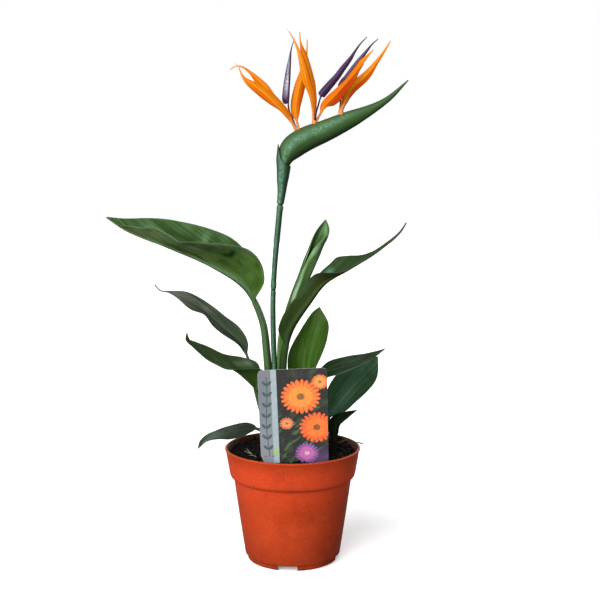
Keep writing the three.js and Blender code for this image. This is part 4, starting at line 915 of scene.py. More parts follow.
# each floret's spots paint highlight and shade on its sepals and arrow, a few of them real colour
floretShapes = {
    "floret_1": {
        "base": [[7.4, 526], [6.2, 538]],
        "sepals": [
            sepal([1.5, 2.3, 2.6, 5.1, 6.7, 6.5, 5.2, 2.1, 0.5], [1.5, 4, 6, 7, 7, 5.6, 3.2, 0.7, 0.5], -18,
                  [[5.5, -6.4, 535], [-7, -9, 553], [-21, -12, 567], [-35, -14, 580], [-47, -15, 589],
                   [-56, -15, 596], [-61, -14, 603], [-64, -12, 610]],
                  [[-1, 0.4, 0.9, 0.4, 0.35, -0.8], [1, 0.5, 0.1, 0.3, 0.4, 0.4], [0, 0.1, 0.5, 0.1, 1, -0.4]]),
            sepal([1.5, 4, 6, 7, 7, 5.4, 2.3, 1.1, 0.5], [1.5, 3.7, 4.2, 4.1, 5.1, 3.2, 1.6, 0.7, 0.5], -18,
                  [[4.4, -3.6, 535], [-3, -3, 551], [-14, -2, 565], [-25, 0, 577], [-34, 1, 588], [-43, 1, 598],
                   [-52, 1, 606], [-60, 0, 611], [-68, 0, 612], [-75, 0, 608]],
                  [[1, 0.4, 0.3, 0.3, 0.5, 0.5], [-1, 0.6, 0.9, 0.2, 0.3, -0.4], [0, 0.1, 0.5, 0.1, 1, -0.4]]),
            sepal([1.5, 5.7, 7, 7, 6.4, 4.7, 2.6, 1, 0.5], [1.5, 5, 6.8, 7.5, 6.9, 5, 2.6, 1, 0.5], -20,
                  [[8, -3, 535], [6.5, -1, 542], [4.5, 2, 552], [4, 5, 564], [6, 7, 577], [9, 9, 590],
                   [13, 10, 604], [16, 11, 618], [18, 11, 638], [18, 11, 645]],
                  [[1, 0.3, 0.8, 0.3, 0.35, -0.9], [-1, 0.5, 0.5, 0.4, 0.5, 0.3]]),
        ],
        "arrow": arrow([6, 8.6, 8.2, 7.2, 5.9, 4.2, 2.2, 0.8, 0.4],
                       [1.2, 1.3, 1.3, 1.3, 1.3, 1.1, 0.9, 0.6, 0.4], 0.29,
                       [[4.2, -1.4, 538.5], [0, 0, 550], [-3.7, 1, 558], [-5, 2, 567], [-4.5, 2, 578],
                        [-4.2, 3, 586], [-3.6, 4, 596], [-3, 4, 608], [-2.3, 4, 620], [-1.7, 4, 629],
                        [-0.2, 4, 636.5], [2, 4, 642.2]],
                       [[-1, 0.35, 0.45, 0.18, 0.35, 1.0], [-1, 0.65, 0.5, 0.15, 0.4, 0.6],
                        [-1, 0.04, 0.5, 0.08, 0.6, -0.5], [1, 0.4, 0.5, 0.5, 1.0, -1.0],
                        [-1, 0.4, 0.0, 0.5, 0.2, -0.6]],
                       4),
    },
    "floret_2": {
        "base": [[27.4, 533], [26.6, 547]],
        "sepals": [
            sepal([1.5, 1.6, 2.6, 4.4, 5.2, 3.6, 2, 1.1, 0.5], [1.5, 3.6, 4.6, 4.8, 4.5, 3.6, 2, 1, 0.5], -18,
                  [[25.6, -5, 544], [25, -6, 557], [23.6, -8, 569], [21, -9, 581], [17, -10, 594], [14, -10, 607],
                   [10, -10, 621], [6, -10, 633], [2, -10, 642], [-4, -10, 652]],
                  [[-1, 0.75, 0.5, 0.25, 1, 0.5], [1, 0.7, 0.3, 0.2, 0.5, 0.5]]),
            sepal([1.5, 3, 4.5, 5, 5, 4.5, 3.6, 1.3, 0.5], [1.5, 1.6, 2.6, 3.8, 3.5, 3.5, 3.4, 1, 0.5], -18,
                  [[27, -2.4, 544], [27.4, -2, 557], [28, -3, 570], [26, -3, 583], [23, -3, 597], [20, -3, 609],
                   [16, -3, 621], [12, -3, 632], [9.5, -3, 644], [9, -3, 652]],
                  [[1, 0.4, 0.7, 0.5, 0.5, -0.5]]),
            sepal([1.5, 4.4, 6.4, 6.9, 6.9, 6.1, 5.4, 4.3, 3.7, 4, 4.4, 4.6, 4.8, 4.6, 2.8, 1.2, 0.5],
                  [1.5, 1.5, 2.6, 7.4, 8.8, 9.2, 8.6, 7.9, 7.6, 7, 5.8, 3.7, 2.2, 1.6, 1.4, 1, 0.5], -20,
                  [[28.2, -4, 545], [34.6, -6, 556], [41, -10, 566], [51, -15, 576], [61, -18, 587], [71, -19, 598],
                   [80, -18, 609], [89, -17, 621], [97, -16, 630]],
                  [[0, 0.15, 0.5, 0.15, 0.8, -0.1], [1, 0.45, 0.5, 0.35, 0.7, -1.0], [1, 0.2, 0.9, 0.2, 0.3, -0.6],
                   [0, 0.35, 0, 0.3, 0.1, 0.5], [-1, 0.5, 0.6, 0.35, 0.7, -0.55]]),
        ],
        "arrow": arrow([4.5, 5.4, 5.0, 4.3, 3.8, 2.9, 1.6, 0.9, 0.4],
                       [4.5, 5.4, 5.0, 4.3, 3.8, 2.9, 1.6, 0.9, 0.4], 0.235,
                       [[27.6, -6.9, 547.5], [29, -8.4, 557], [31.4, -8, 565], [35.2, -7.5, 577], [42.5, -6, 586.5],
                        [54.2, -4, 599.9], [60, -3, 607.9], [70.6, -2, 621.6], [76.2, -2, 630.3], [82.1, -2, 638.3],
                        [89.8, -2, 646.2]],
                       [[1, 0.4, 0.9, 0.5, 0.3, -0.7]]),
    },
    "floret_3": {
        "base": [[60, 547], [58.6, 560]],
        "sepals": [
            sepal([1.5, 4.5, 5.8, 6, 5, 3.6, 2.1, 1.3, 0.5], [1.5, 4.2, 5.3, 6, 5.2, 3.2, 2.3, 1.4, 0.5], -18,
                  [[58.8, -5.4, 557.5], [62.5, -6.5, 566], [65.5, -7.5, 573.5], [69.5, -8, 580.6], [79.1, -9, 591.2],
                   [88.6, -9, 600.1], [95.8, -9, 608.3], [102.9, -9, 618.4], [110, -9, 628.4], [118, -8, 641]],
                  [[-1, 0.6, 0.6, 0.3, 0.6, 0.5], [1, 0.4, 0.6, 0.35, 0.6, -0.6], [1, 0.2, 0.8, 0.2, 0.4, -0.8]]),
            sepal([1.5, 2.6, 3.6, 3.6, 3, 1.4, 0.5], [1.5, 2.6, 3.6, 3.6, 3, 1.4, 0.5], -18,
                  [[59.4, -3, 558], [64, -2, 567], [69, 0, 577], [78, 1, 589], [87, 2, 598.5], [94, 2, 607],
                   [101, 2, 617]]),
            sepal([1.5, 2.4, 3.2, 3.2, 2.4, 1.2, 0.5], [1.5, 2.4, 3.2, 3.2, 2.4, 1.2, 0.5], -15,
                  [[57, -4, 557], [60, -3, 566], [64, -4, 577], [68.5, -4, 587], [73.5, -4, 596], [79.5, -4, 605],
                   [86, -4, 614]]),
        ],
        "arrow": arrow([4, 4.5, 4.1, 3.7, 3.3, 2.6, 1.8, 0.9, 0.4], [4, 4.5, 4.1, 3.7, 3.3, 2.6, 1.8, 0.9, 0.4], 0.27,
                       [[57.6, -1.2, 560.4], [58.6, 2, 570], [57.6, 5, 579], [58.6, 6, 587], [62, 7, 594],
                        [66.8, 7, 600], [75, 7, 611.6], [84.3, 7, 623.7], [90, 7, 630.6], [96.5, 7, 638.5],
                        [104, 7, 645]],
                       [[-1, 0.45, 0.5, 0.4, 1.0, 0.28]]),
    },
}


# keel, shine and shade are painted highlight and shade colours; the others are the sepal's own colours
sepalLook = {
    "low": (0.5, 0.115, 0.0012), "high": (0.62, 0.18, 0.003), "deep": (0.47, 0.085, 0.0015),
    "keel": (0.66, 0.26, 0.04), "tip": (0.58, 0.19, 0.015), "edge": (0.5, 0.085, 0.002), "shine": (0.66, 0.25, 0.03),
    "shade": (0.4, 0.045, 0.003), "foot": (0.56, 0.24, 0.1),
}
# shine, glint and shade are painted sheen, glint and shade colours; the others are the arrow's own colours
arrowLook = {
    "low": (0.028, 0.009, 0.033), "high": (0.052, 0.021, 0.068), "deep": (0.02, 0.008, 0.025),
    "shine": (0.4, 0.39, 0.48), "glint": (0.62, 0.62, 0.6), "shade": (0.008, 0.003, 0.006),
    "stalk": (0.02, 0.007, 0.02),
}
baseShape = {"rows": 8, "around": 24, "radius": 3.7, "waist": 0.5}


def sepalFinish(look):
    f = Finish("orange sepal", shine=(1.0, 0.5, 0.1), Specular_IOR_Level=0.07)
    rib, run, share = f.stored("leafPlace")
    upper, _, along = f.stored("leafSide")
    _, sheenShadeAndTone, _ = f.stored("leafSheenShadeAndTone")
    lines = f.streaks(rib * 0.8, run * 0.015, upper * 4)
    mottle = f.grain(110, 4, 0.6)
    colour = f.layers(
        f.blend(lines.rise(0.35, 0.65), look["low"], look["high"]),
        (mottle.rise(0.45, 0.75) * 0.4, look["deep"]),
        # a lighter line along each sepal's middle: painted highlight on the fold
        ((1 - share.rise(0.03, 0.14)) * 0.5, look["keel"]),
        (along.rise(0.55, 1.0) * 0.4, look["tip"]),
        (share.rise(0.8, 1.0) * 0.45, look["edge"]),
        # painted highlight and painted shade from the listed spots, a few of them real colour
        (sheenShadeAndTone.share(), look["shine"]),
        ((0 - sheenShadeAndTone).share(), look["shade"]),
        ((1 - run.rise(-8, 12)) * 0.8, look["foot"]))
    return f.finishWith(colour, 0.42 + 0.15 * mottle, lines * 0.6 + mottle * 0.3, 0.0002, 0.25)


def arrowFinish(look):
    f = Finish("violet arrow", shine=(0.8, 0.7, 1.0), Specular_IOR_Level=0.2)
    rib, run, _ = f.stored("leafPlace")
    upper, sheet, _ = f.stored("leafSide")
    _, sheenShadeAndTone, _ = f.stored("leafSheenShadeAndTone")
    lines = f.streaks(rib * 1.1, run * 0.02, upper * 4, 3, 0.6)
    mottle, specks = f.grain(120, 3), f.grain(700, 3, 0.6)
    # painted sheen from the listed spots, stronger along the streaks and specks
    shine = sheenShadeAndTone.share() * (0.3 + lines.rise(0.35, 0.65) * 0.35 + specks.rise(0.4, 0.6) * 0.45).share()
    colour = f.layers(
        f.blend(lines.rise(0.4, 0.7) * 0.6, look["low"], look["high"]),
        (mottle.rise(0.5, 0.75) * 0.4, look["deep"]),
        # painted sheen, painted glints where the spots are strongest, and painted shade where they add up below
        # nothing
        (shine, look["shine"]),
        (sheenShadeAndTone.rise(0.55, 1.0) * specks.rise(0.5, 0.62) * 0.8, look["glint"]),
        ((0 - sheenShadeAndTone).share(), look["shade"]),
        ((1 - sheet) * 0.8, look["stalk"]))
    return f.finishWith(colour, 0.36 + 0.2 * mottle, lines + specks * 0.4, 0.0005, 0.5)


def floretBase(bm, path, shape):  # the short round stalk that the sepals stand on
    rail, count, around = flowerRail(path), shape["rows"], shape["around"]
    rows = gridVerts(bm, around, count)
    placeLayer, sideLayer = [bm.verts.layers.float_vector[key] for key in bladeLayers[:2]]
    for k, row in enumerate(rows):
        u = k / count
        r = shape["radius"] - shape["waist"] * abs(2 * u - 0.8)
        for j, vert in enumerate(row):
            angle = math.tau * j / around
            vert.co = fromPot(rail.at(u) + Vector((math.cos(angle) * r, math.sin(angle) * r, 0)))
            vert[placeLayer] = (3 * math.cos(angle * 4), -12 + 10 * u, 0.5)
            vert[sideLayer] = (1, 0, 0)
    return rows


sepalMaterial, arrowMaterial = sepalFinish(sepalLook), arrowFinish(arrowLook)
for name, floret in floretShapes.items():
    bm = layeredMesh()
    rolls = [floretBase(bm, floret["base"], baseShape)]
    rolls += [bladeMesh(bm, part, petalBuild, 5 * len(name) + n) for n, part in enumerate(floret["sepals"])]
    closeRolls(bm, rolls)
    pieceOf("petals_" + name, bm, sepalMaterial, [name + "_sepals"])
    bladePiece("arrow_" + name, [floret["arrow"]], petalBuild, arrowMaterial, [name + "_arrow"])

threadShape = {
    "thick": 0.22, "thin": 0.1, "low": (0.2, 0.17, 0.15), "high": (0.32, 0.272, 0.24),
    "paths": [[[-73, 0, 608.6], [-75.5, 0, 607.4], [-78, -1, 605.5]],
              [[-65, 0, 611.6], [-67.5, 0, 613.8], [-71, 0, 617]],
              [[-3.6, -10, 651], [-5.2, -10, 653], [-6.4, -10, 655.5]]],
}


def strandRows(bm, path, thick, thin, rows=14, around=6):  # a thin round strand through points
    rail = Rail(path)
    made = gridVerts(bm, around, rows)
    for k, row in enumerate(made):
        u = k / rows
        forward = rail.heading(u, 0.02)
        across = (across - forward * across.dot(forward) if k else forward.orthogonal()).normalized()
        other = forward.cross(across)
        r = lerp(thick, thin, u)
        for j, vert in enumerate(row):
            angle = math.tau * j / around
            vert.co = fromPot(rail.at(u) + (across * math.cos(angle) + other * math.sin(angle)) * r)
    return made


def strandFinish(name, low, high):
    f = Finish(name, Specular_IOR_Level=0.25)
    streak, mottle = f.grain(300, 3, 0.6), f.grain(90, 3)
    colour = f.blend(streak.rise(0.35, 0.65), low, high)
    colour = f.blend(mottle.rise(0.5, 0.75) * 0.5, colour, [0.5 * v for v in low])
    return f.finishWith(colour, 0.7 + 0.1 * mottle, streak + mottle, 0.0003, 0.5)


def strandPiece(name, shape, finishName, rows=14, around=6):
    bm = bmesh.new()
    closeRolls(bm, [strandRows(bm, path, shape["thick"], shape["thin"], rows, around) for path in shape["paths"]])
    return pieceOf(name, bm, strandFinish(finishName, shape["low"], shape["high"]))


strandPiece("petal_threads", threadShape, "dry thread")
print("florets made:", len(floretShapes))


# Soil

soilShape = {
    "level": 133.0, "edgeRadius": 79.3, "rings": 70, "turnSteps": 160,
    "under": [(76.8, 112), (71.8, 101), (70, 95), (0, 95)],
    "heaps": [{"centre": (5, 10), "height": 8, "spread": 46}, {"centre": (50, 42), "height": 8, "spread": 24},
              {"centre": (-45, 40), "height": 3, "spread": 25}],
    "lumps": 2.2, "colours": [(0.0014, 0.0013, 0.001), (0.006, 0.0045, 0.003), (0.03, 0.021, 0.014)],
}
crumbShape = {
    "seed": 7, "count": 1700, "reach": 77.5, "size": (0.7, 3.2), "stretch": (0.7, 1.3), "flat": 0.75, "sunk": 0.25,
    "rough": 0.00022, "light": 1.25,
}
fibreShape = {
    "seed": 21, "count": 150, "reach": 72.0, "length": (3, 11), "rise": (0.3, 1.4, 1.2, 0.1), "thick": 0.32,
    "thin": 0.18, "low": (0.03, 0.018, 0.011), "high": (0.1, 0.06, 0.035),
}
perliteShape = {
    "seed": 5, "count": 16, "reach": 74.0, "size": (0.4, 0.9), "colours": [(0.3, 0.32, 0.3), (0.55, 0.57, 0.54)],
    "bigGrain": (74, 6), "bigGrainSize": 1.2,
}


def soilHeight(x, y):
    height = soilShape["level"]
    for heap in soilShape["heaps"]:
        away = math.hypot(x - heap["centre"][0], y - heap["centre"][1]) / heap["spread"]
        height += heap["height"] * math.exp(-away * away)
    coarse = math.sin(0.31 * x + 0.17 * y) * math.cos(0.23 * y - 0.11 * x)
    fine = 0.6 * math.sin(0.52 * x - 0.41 * y)
    return height + coarse + fine


def soilSurface(x, y):  # the soil's height with its lumps
    place = Vector((x, y, 3.7))
    lumps = noise.noise(place * 0.14) + 0.6 * noise.noise(place * 0.33) + 0.35 * noise.noise(place * 0.8)
    return soilHeight(x, y) + soilShape["lumps"] * lumps


def soilFinish(name="damp peat", light=1.0):
    f = Finish(name, Specular_IOR_Level=0.08)
    lumps = f.grain(160, 5, 0.65)
    specks = f.grain(700, 3, 0.6)
    dark, brown, tan = [[light * v for v in colour] for colour in soilShape["colours"]]
    colour = f.blend(lumps.rise(0.35, 0.7), dark, brown)
    colour = f.blend(specks.rise(0.6, 0.75) * 0.5, colour, tan)
    return f.finishWith(colour, 0.85 + 0.1 * specks, lumps + specks * 0.5, 0.0012, 0.8)


def makeSoil(shape):
    edge, rings = shape["edgeRadius"], shape["rings"]
    line = [(edge * k / rings, 0) for k in range(rings + 1)] + shape["under"]
    bm = turned(line, shape["turnSteps"])
    for vert in bm.verts:
        if vert.co.z < 0.001:
            x, y, _ = (vert.co - potAxis) * 1000
            vert.co.z = soilSurface(x, y) / 1000
    bmesh.ops.recalc_face_normals(bm, faces=bm.faces)
    return pieceOf("soil_bed", bm, soilFinish(), ["soil"])


litterShapes = {
    "twig": {"paths": [[[-42, -27, 133], [-47, -22, 135.3], [-53, -15, 136.6], [-60, -9, 138.3]],
                       [[-50.5, -18, 136.2], [-54, -11, 137.6], [-57.5, -4, 139.6]],
                       [[-47, -22, 135.3], [-50, -24, 136.4], [-54, -26, 137]]],
             "thick": 0.75, "thin": 0.3, "low": (0.09, 0.105, 0.085), "high": (0.2, 0.22, 0.18)},
    "root": {"paths": [[[34, 2, 139.5], [44, 5, 143], [52, 4, 144], [60, 6, 145.4], [66, 10, 147.2], [70, 17, 146.5],
                        [72, 26, 140]]],
             "thick": 0.5, "thin": 0.4, "low": (0.075, 0.035, 0.02), "high": (0.16, 0.08, 0.045)},
    "needle": {"paths": [[[66, 18, 138.4], [74, 15, 142.4], [82.5, 11.5, 143.7], [89, 9.5, 143.0]]],
               "thick": 0.35, "thin": 0.9, "low": (0.02, 0.02, 0.014), "high": (0.05, 0.05, 0.035)},
}


def onSoil(chance, edge):  # a random place on the soil, in millimetres round the pot's axis
    radius, angle = edge * math.sqrt(chance.random()), chance.random() * math.tau
    x, y = radius * math.cos(angle), radius * math.sin(angle)
    return Vector((x, y, soilSurface(x, y)))


def makeCrumbs(shape):
    chance = random.Random(shape["seed"])
    bm = bmesh.new()
    for k in range(shape["count"]):
        place = onSoil(chance, shape["reach"])
        small, large = shape["size"]
        size = lerp(small, large, chance.random() ** 2.6)
        long, wide = [size * chance.uniform(*shape["stretch"]) for side in range(2)]
        turn = Matrix.Rotation(chance.random() * math.tau, 4, Vector((chance.random(), chance.random(), 1)))
        place.z += size * shape["sunk"]
        stretch = Matrix.Diagonal((long, wide, size * shape["flat"], 1))
        moved = Matrix.Translation(fromPot(place)) @ turn @ Matrix.Scale(0.001, 4) @ stretch
        made = bmesh.ops.create_icosphere(bm, subdivisions=1, radius=1, matrix=moved)["verts"]
        for vert in made:
            shift = Vector([chance.uniform(-1, 1) for axis in range(3)])
            vert.co += shift * size * shape["rough"]
    return pieceOf("soil_crumbs", bm, soilFinish("crumbly peat", shape["light"]), smooth=False)


def makeFibres(shape):  # short roots and bark fibres lying in the peat
    chance = random.Random(shape["seed"])
    paths = []
    for k in range(shape["count"]):
        start = onSoil(chance, shape["reach"])
        heading, length = chance.random() * math.tau, chance.uniform(*shape["length"])
        path = []
        for step, rise in enumerate(shape["rise"]):
            place = start + Vector((math.cos(heading), math.sin(heading), 0)) * length * step / 3
            heading += chance.uniform(-0.5, 0.5)
            place.z = soilSurface(place.x, place.y) + rise * chance.uniform(0.4, 1.2)
            path.append(place)
        paths.append(path)
    return strandPiece("peat_fibres", {**shape, "paths": paths}, "peat fibre", rows=6, around=4)


def makePerlite(shape):
    chance = random.Random(shape["seed"])
    x, y = shape["bigGrain"]
    places = [Vector((x, y, soilSurface(x, y) + 0.5))]
    places += [onSoil(chance, shape["reach"]) for k in range(shape["count"])]
    bm = bmesh.new()
    for k, place in enumerate(places):
        size = 0.001 * (chance.uniform(*shape["size"]) if k else shape["bigGrainSize"])
        moved = Matrix.Translation(fromPot(place)) @ Matrix.Diagonal((size, 1.2 * size, 0.8 * size, 1))
        bmesh.ops.create_icosphere(bm, subdivisions=2, radius=1, matrix=moved)
    f = Finish("perlite grain")
    pits = f.grain(1500, 2)
    material = f.finishWith(f.blend(pits, *shape["colours"]), 0.8, pits, 0.0002)
    return pieceOf("perlite", bm, material)


makeSoil(soilShape)
makeCrumbs(crumbShape)
makeFibres(fibreShape)
makePerlite(perliteShape)
for name, litter in litterShapes.items():
    strandPiece("soil_" + name, litter, "dry " + name, around=8)
print("soil made")


# Plant label

labelShape = {
    "top": 249.0, "width": 84.0, "draft": 2.4, "card": 146.0, "spikeWidth": 18.0, "spikeLength": 20.0,
    "shoulders": (104.0, 116.0), "shoulderDrop": 20.0, "shoulderInset": 8.0,
    "corner": 6.0, "thickness": 0.9, "tilt": 2.4, "lean": -3.0, "place": (-0.4, -46.0),
    "strip": -26.5, "stripe": -19.5, "stripColour": (0.134, 0.14, 0.16), "stripeColour": (0.24, 0.3, 0.315),
    "stripPale": (0.22, 0.225, 0.25), "stripePale": (0.32, 0.37, 0.4), "stripEdge": 0.25, "rimBevel": 0.18,
    "field": (0.012, 0.011, 0.01), "foliage": (0.03, 0.05, 0.022), "litFoliage": (0.06, 0.11, 0.05),
    "violet": (0.07, 0.035, 0.1), "blur": (0.3, 0.34, 0.29), "sprig": (0.012, 0.055, 0.05), "bud": (0.26, 0.4, 0.03),
    "budAt": (-23.2, -100), "stemAt": -32.5, "sprigStep": 13, "plastic": [(0.62, 0.62, 0.64), (0.72, 0.72, 0.72)],
    "blooms": [  # across, down, size, petals, turn, heart colour, petal colour, tip colour
        [-9, -66, 9, 13, 0.9, (0.12, 0.05, 0.02), (0.62, 0.2, 0.07), (0.42, 0.09, 0.05)],
        [27, -72, 22, 21, 0.4, (0.1, 0.035, 0.012), (0.72, 0.13, 0.02), (0.6, 0.075, 0.016)],
        [9, -34, 25, 23, 1.1, (0.12, 0.05, 0.012), (0.78, 0.2, 0.03), (0.68, 0.1, 0.02)],
        [33, -17, 11, 17, 2.0, (0.14, 0.05, 0.012), (0.76, 0.24, 0.05), (0.6, 0.1, 0.02)],
        [14, -103, 15, 19, 0.2, (0.3, 0.16, 0.2), (0.36, 0.09, 0.26), (0.13, 0.06, 0.2)],
    ],
}


def makeLabel(shape):
    half, spike, corner = shape["width"] / 2, shape["spikeWidth"] / 2, shape["corner"]
    card, reach, drop, inset = shape["card"], shape["spikeLength"], shape["shoulderDrop"], shape["shoulderInset"]
    leftFoot, rightFoot = shape["shoulders"]
    outline = [(-half + corner - corner * math.sin(a), -corner + corner * math.cos(a))
               for a in [math.radians(90 * k / 8) for k in range(9)]]
    outline += [(-half, -leftFoot), (-half + inset, -leftFoot - drop), (-spike, -card),
                (-spike, -card - reach + spike), (0, -card - reach), (spike, -card - reach + spike), (spike, -card),
                (half - shape["draft"] - inset, -rightFoot - drop), (half - shape["draft"], -rightFoot)]
    outline += [(half - corner + corner * math.cos(a), -corner + corner * math.sin(a))
                for a in [math.radians(90 * k / 8) for k in range(9)]]
    bm = bmesh.new()
    depth = shape["thickness"] / 2
    face = bm.faces.new([bm.verts.new((x, -depth, z)) for x, z in outline])
    grown = bmesh.ops.extrude_face_region(bm, geom=[face])
    back = [v for v in grown["geom"] if isinstance(v, bmesh.types.BMVert)]
    bmesh.ops.translate(bm, vec=(0, 2 * depth, 0), verts=back)
    bmesh.ops.recalc_face_normals(bm, faces=bm.faces)
    rims = [e for e in bm.edges if e.verts[0].co.y * e.verts[1].co.y > 0]  # the edges of the two faces
    bmesh.ops.bevel(bm, geom=rims, offset=shape["rimBevel"], segments=2, profile=0.5, affect="EDGES", material=-1)
    uvLayer = bm.loops.layers.uv.new("UVMap")
    for loop in [loop for f in bm.faces for loop in f.loops]:
        loop[uvLayer].uv = (loop.vert.co.x / 100 + 0.5, loop.vert.co.z / 100 + 1.3)
    leaned = Matrix.Rotation(math.radians(shape["lean"]), 4, "X")
    bmesh.ops.transform(bm, matrix=leaned @ Matrix.Rotation(math.radians(-shape["tilt"]), 4, "Y"), verts=bm.verts)
    for vert in bm.verts:
        vert.co = fromPot(vert.co + Vector((*shape["place"], shape["top"])))
    for face in bm.faces:
        face.material_index = 0 if face.normal.y < -0.9 else 1
    label = pieceOf("plant_label", bm, labelFinish(shape), ["label"], smooth=False)
    label.data.materials.append(cardFinish(shape))
    return label


def bloomMask(f, x, y, bloom):  # a daisy's head in two rings of narrow petals: where it is, and its colour
    left, down, size, petals, turn, heart, petal, tip = bloom
    dx, dy = x - left, (y - down) * 1.15
    away, angle = (dx * dx + dy * dy).root(), dy.turnFrom(dx)
    wander = f.grain(0.25, 2, 0.5, f.combined(dx, dy, turn)) * 1.6
    outer = (angle * (petals / 2) + (turn + wander)).cosine().size()
    inner = (angle * (petals / 2) + (turn + 1.6)).cosine().size()
    mask = 1 - (away / ((outer ** 0.5) * (0.32 * size) + 0.68 * size)).rise(0.93, 1.0)
    ring = 1 - (away / ((inner ** 0.5) * (0.2 * size) + 0.42 * size)).rise(0.9, 1.0)
    streaks = f.streaks(dx / away * (petals * 0.6), dy / away * (petals * 0.6), away * 0.15, 3, 0.6)
    lit = f.blend(inner.rise(0.0, 0.5), [0.5 * v for v in tip], [min(1, 1.15 * v) for v in petal])
    dots = f.grain(1.1, 2, 0.5, f.combined(x, y, 0.0)).rise(0.4, 0.6)
    middle = f.blend(dots, [0.4 * v for v in heart], [min(1, 3 * v) for v in heart])
    return mask, f.layers(
        f.blend((away / size).rise(0.3, 0.95), petal, tip),
        ((1 - outer.rise(0.0, 0.5)) * 0.55, [0.3 * v for v in tip]),
        (ring * 0.9, lit),
        (streaks.rise(0.45, 0.7) * 0.35, [min(1, 1.6 * v) for v in petal]),
        ((1 - streaks).rise(0.5, 0.75) * 0.4, [0.4 * v for v in tip]),
        (1 - (away / size).rise(0.15, 0.24), middle))


def labelFinish(look):  # the print: a sprig on a pale strip, and flower heads on a dark field
    f = Finish("printed label", Specular_IOR_Level=0.35)
    spots = f.tree.nodes.new("ShaderNodeSeparateXYZ")
    f.plug(spots.inputs[0], f.node("UVMap", {"uv_map": "UVMap"}))
    u, v = Field(f, spots.outputs[0]), Field(f, spots.outputs[1])
    x, y = (u - 0.5) * 100, (v - 1.3) * 100  # millimetres on the card, y down from its top
    card = f.combined(x, y, 0.0)
    leaves = f.streaks(x * 0.05 + y * 0.035, x * 0.16 - y * 0.2, 3.0)
    cells = f.node("TexVoronoi", {"feature": "F1"}, {"Vector": card, "Scale": 0.1, "Randomness": 0.9})
    blobs = (1 - cells.rise(0.1, 0.2)) * f.grain(0.03, 1, 0.5, card).rise(0.45, 0.55)
    colour = f.layers(
        look["field"],
        (f.grain(0.06, 4, 0.6, card).rise(0.5, 0.7) * 0.8, look["foliage"]),
        (leaves.rise(0.56, 0.64) * (1 - y.rise(-60, -20)) * 0.7, look["litFoliage"]),
        ((1 - y.rise(-112, -90)) * x.rise(-10, 25) * 0.85, look["violet"]),
        (blobs * 0.6, look["blur"]),
        *[bloomMask(f, x, y, bloom) for bloom in look["blooms"]])
    stripe = f.blend(f.grain(0.15, 2, 0.5, card).rise(0.4, 0.7) * 0.4, look["stripeColour"], look["stripePale"])
    strip = f.blend((1 - y.rise(-100, -30)) * 0.5, look["stripColour"], look["stripPale"])
    stem = (x - look["stemAt"] + (y * 0.07).sine() * 1.2).size()
    cell = y.wrap(look["sprigStep"]) - look["sprigStep"] / 2
    along, across = (stem + cell) * 0.707, (cell - stem) * 0.707
    leaf = 1 - ((across * 2.3) ** 2 + (along - 4.2) ** 2).root().rise(3.7, 4.1)
    sprig = (1 - stem.rise(0.45, 0.7)).most(leaf) * (1 - y.rise(-9, -8.5)) * y.rise(-106, -105.5)
    bx, by = x - look["budAt"][0], y - look["budAt"][1]
    bud = 1 - ((bx * 1.5 + by * 0.4) ** 2 + (by - bx * 0.2) ** 2).root().rise(3.4, 3.8)
    edge = look["stripEdge"]
    colour = f.layers(
        colour,
        (1 - x.rise(look["stripe"] - edge, look["stripe"] + edge), stripe),
        (1 - x.rise(look["strip"] - edge, look["strip"] + edge), strip),
        (sprig * (0.65 + 0.35 * f.grain(0.5, 2, 0.5, card)), look["sprig"]),
        (bud, look["bud"]))
    scuffs = f.grain(0.4, 4, 0.7, card)
    return f.finishWith(colour, 0.32 + 0.14 * scuffs, scuffs, 0.0001, 0.2)


def cardFinish(look):  # the card's bare plastic, on its back and its edges
    f = Finish("bare card", Specular_IOR_Level=0.35)
    cloudy = f.grain(60, 4, 0.6)
    return f.finishWith(f.blend(cloudy, *look["plastic"]), 0.4 + 0.1 * cloudy, cloudy, 0.0001, 0.3)


makeLabel(labelShape)
print("label made")


# Floor, light and camera

studio = {
    "air": 0.09, "airColour": (0.95, 0.98, 1.0),
    "floorSize": 6, "floor": (0.9, 0.9, 0.9), "floorGlow": 0.24, "floorBack": (0.2, 0.195, 0.19),
    "suns": {"key": (-40, 30, 60, 4.7), "front": (4, 26, 70, 1.8), "back": (160, 22, 70, 2.1)},
}
viewShape = {
    "camera": (9.3, -1350.0, 487.0), "pitch": 6.746, "focal": 1097.0, "frameWidth": 600.0, "sensor": 36,
}


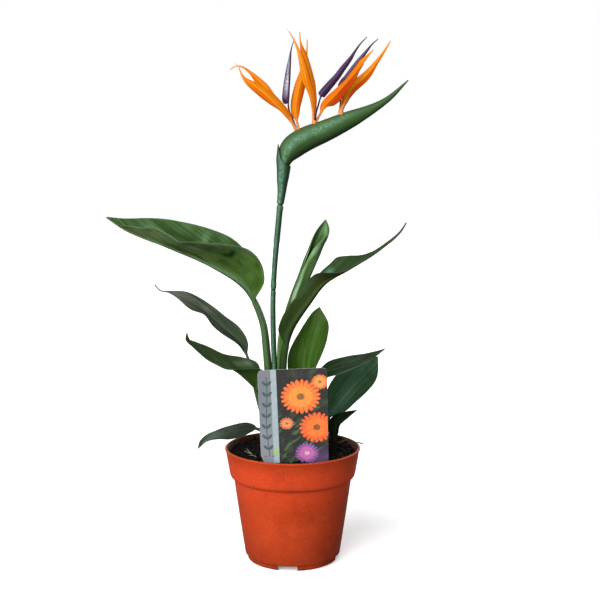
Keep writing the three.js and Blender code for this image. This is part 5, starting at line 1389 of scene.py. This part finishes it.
def makeStage():
    bm = bmesh.new()
    bmesh.ops.create_grid(bm, x_segments=1, y_segments=1, size=studio["floorSize"])
    floor = objectOf("floor", meshOf("floor", bm))
    f = Finish("pale floor", Emission_Strength=studio["floorGlow"], Specular_IOR_Level=0.1)
    seenRay = f.node("LightPath")
    f.plug(f.shader.inputs["Emission Color"], f.blend(seenRay, (0.0, 0.0, 0.0), (1.0, 1.0, 1.0)))
    floor.data.materials.append(f.finishWith(f.blend(seenRay, studio["floorBack"], studio["floor"]), 0.7))
    world = bpy.data.worlds.new("studio")
    bpy.context.scene.world = world
    world.use_nodes = True
    tree = world.node_tree
    seen, shown = tree.nodes["Background"], tree.nodes.new("ShaderNodeBackground")
    seen.inputs[0].default_value = (*studio["airColour"], 1)
    seen.inputs[1].default_value = studio["air"]
    shown.inputs[0].default_value = (1, 1, 1, 1)
    shown.inputs[1].default_value = 1.0  # what the camera sees behind the plant is plain white
    rays, mix = tree.nodes.new("ShaderNodeLightPath"), tree.nodes.new("ShaderNodeMixShader")
    tree.links.new(rays.outputs["Is Camera Ray"], mix.inputs[0])
    tree.links.new(seen.outputs[0], mix.inputs[1])
    tree.links.new(shown.outputs[0], mix.inputs[2])
    tree.links.new(mix.outputs[0], tree.nodes["World Output"].inputs[0])


def sunLight(name, azimuth, height, spread, power):  # azimuth 0 is the front, plus is to the right
    data = bpy.data.lights.new(name, "SUN")
    data.angle, data.energy = math.radians(spread), power
    objectOf(name, data).rotation_euler = (math.radians(90 - height), 0, math.radians(azimuth))


def makeCamera(view):
    data = bpy.data.cameras.new("camera")
    data.sensor_width = view["sensor"]
    data.lens = view["sensor"] * view["focal"] / view["frameWidth"]
    camera = objectOf("camera", data)
    camera.location = fromPot(view["camera"])
    camera.rotation_euler = (math.radians(90 - view["pitch"]), 0, 0)
    bpy.context.scene.camera = camera


makeStage()
for name, sun in studio["suns"].items():
    sunLight(name, *sun)
makeCamera(viewShape)
bpy.context.scene.view_settings.view_transform = "Standard"
print("floor, light and camera set")
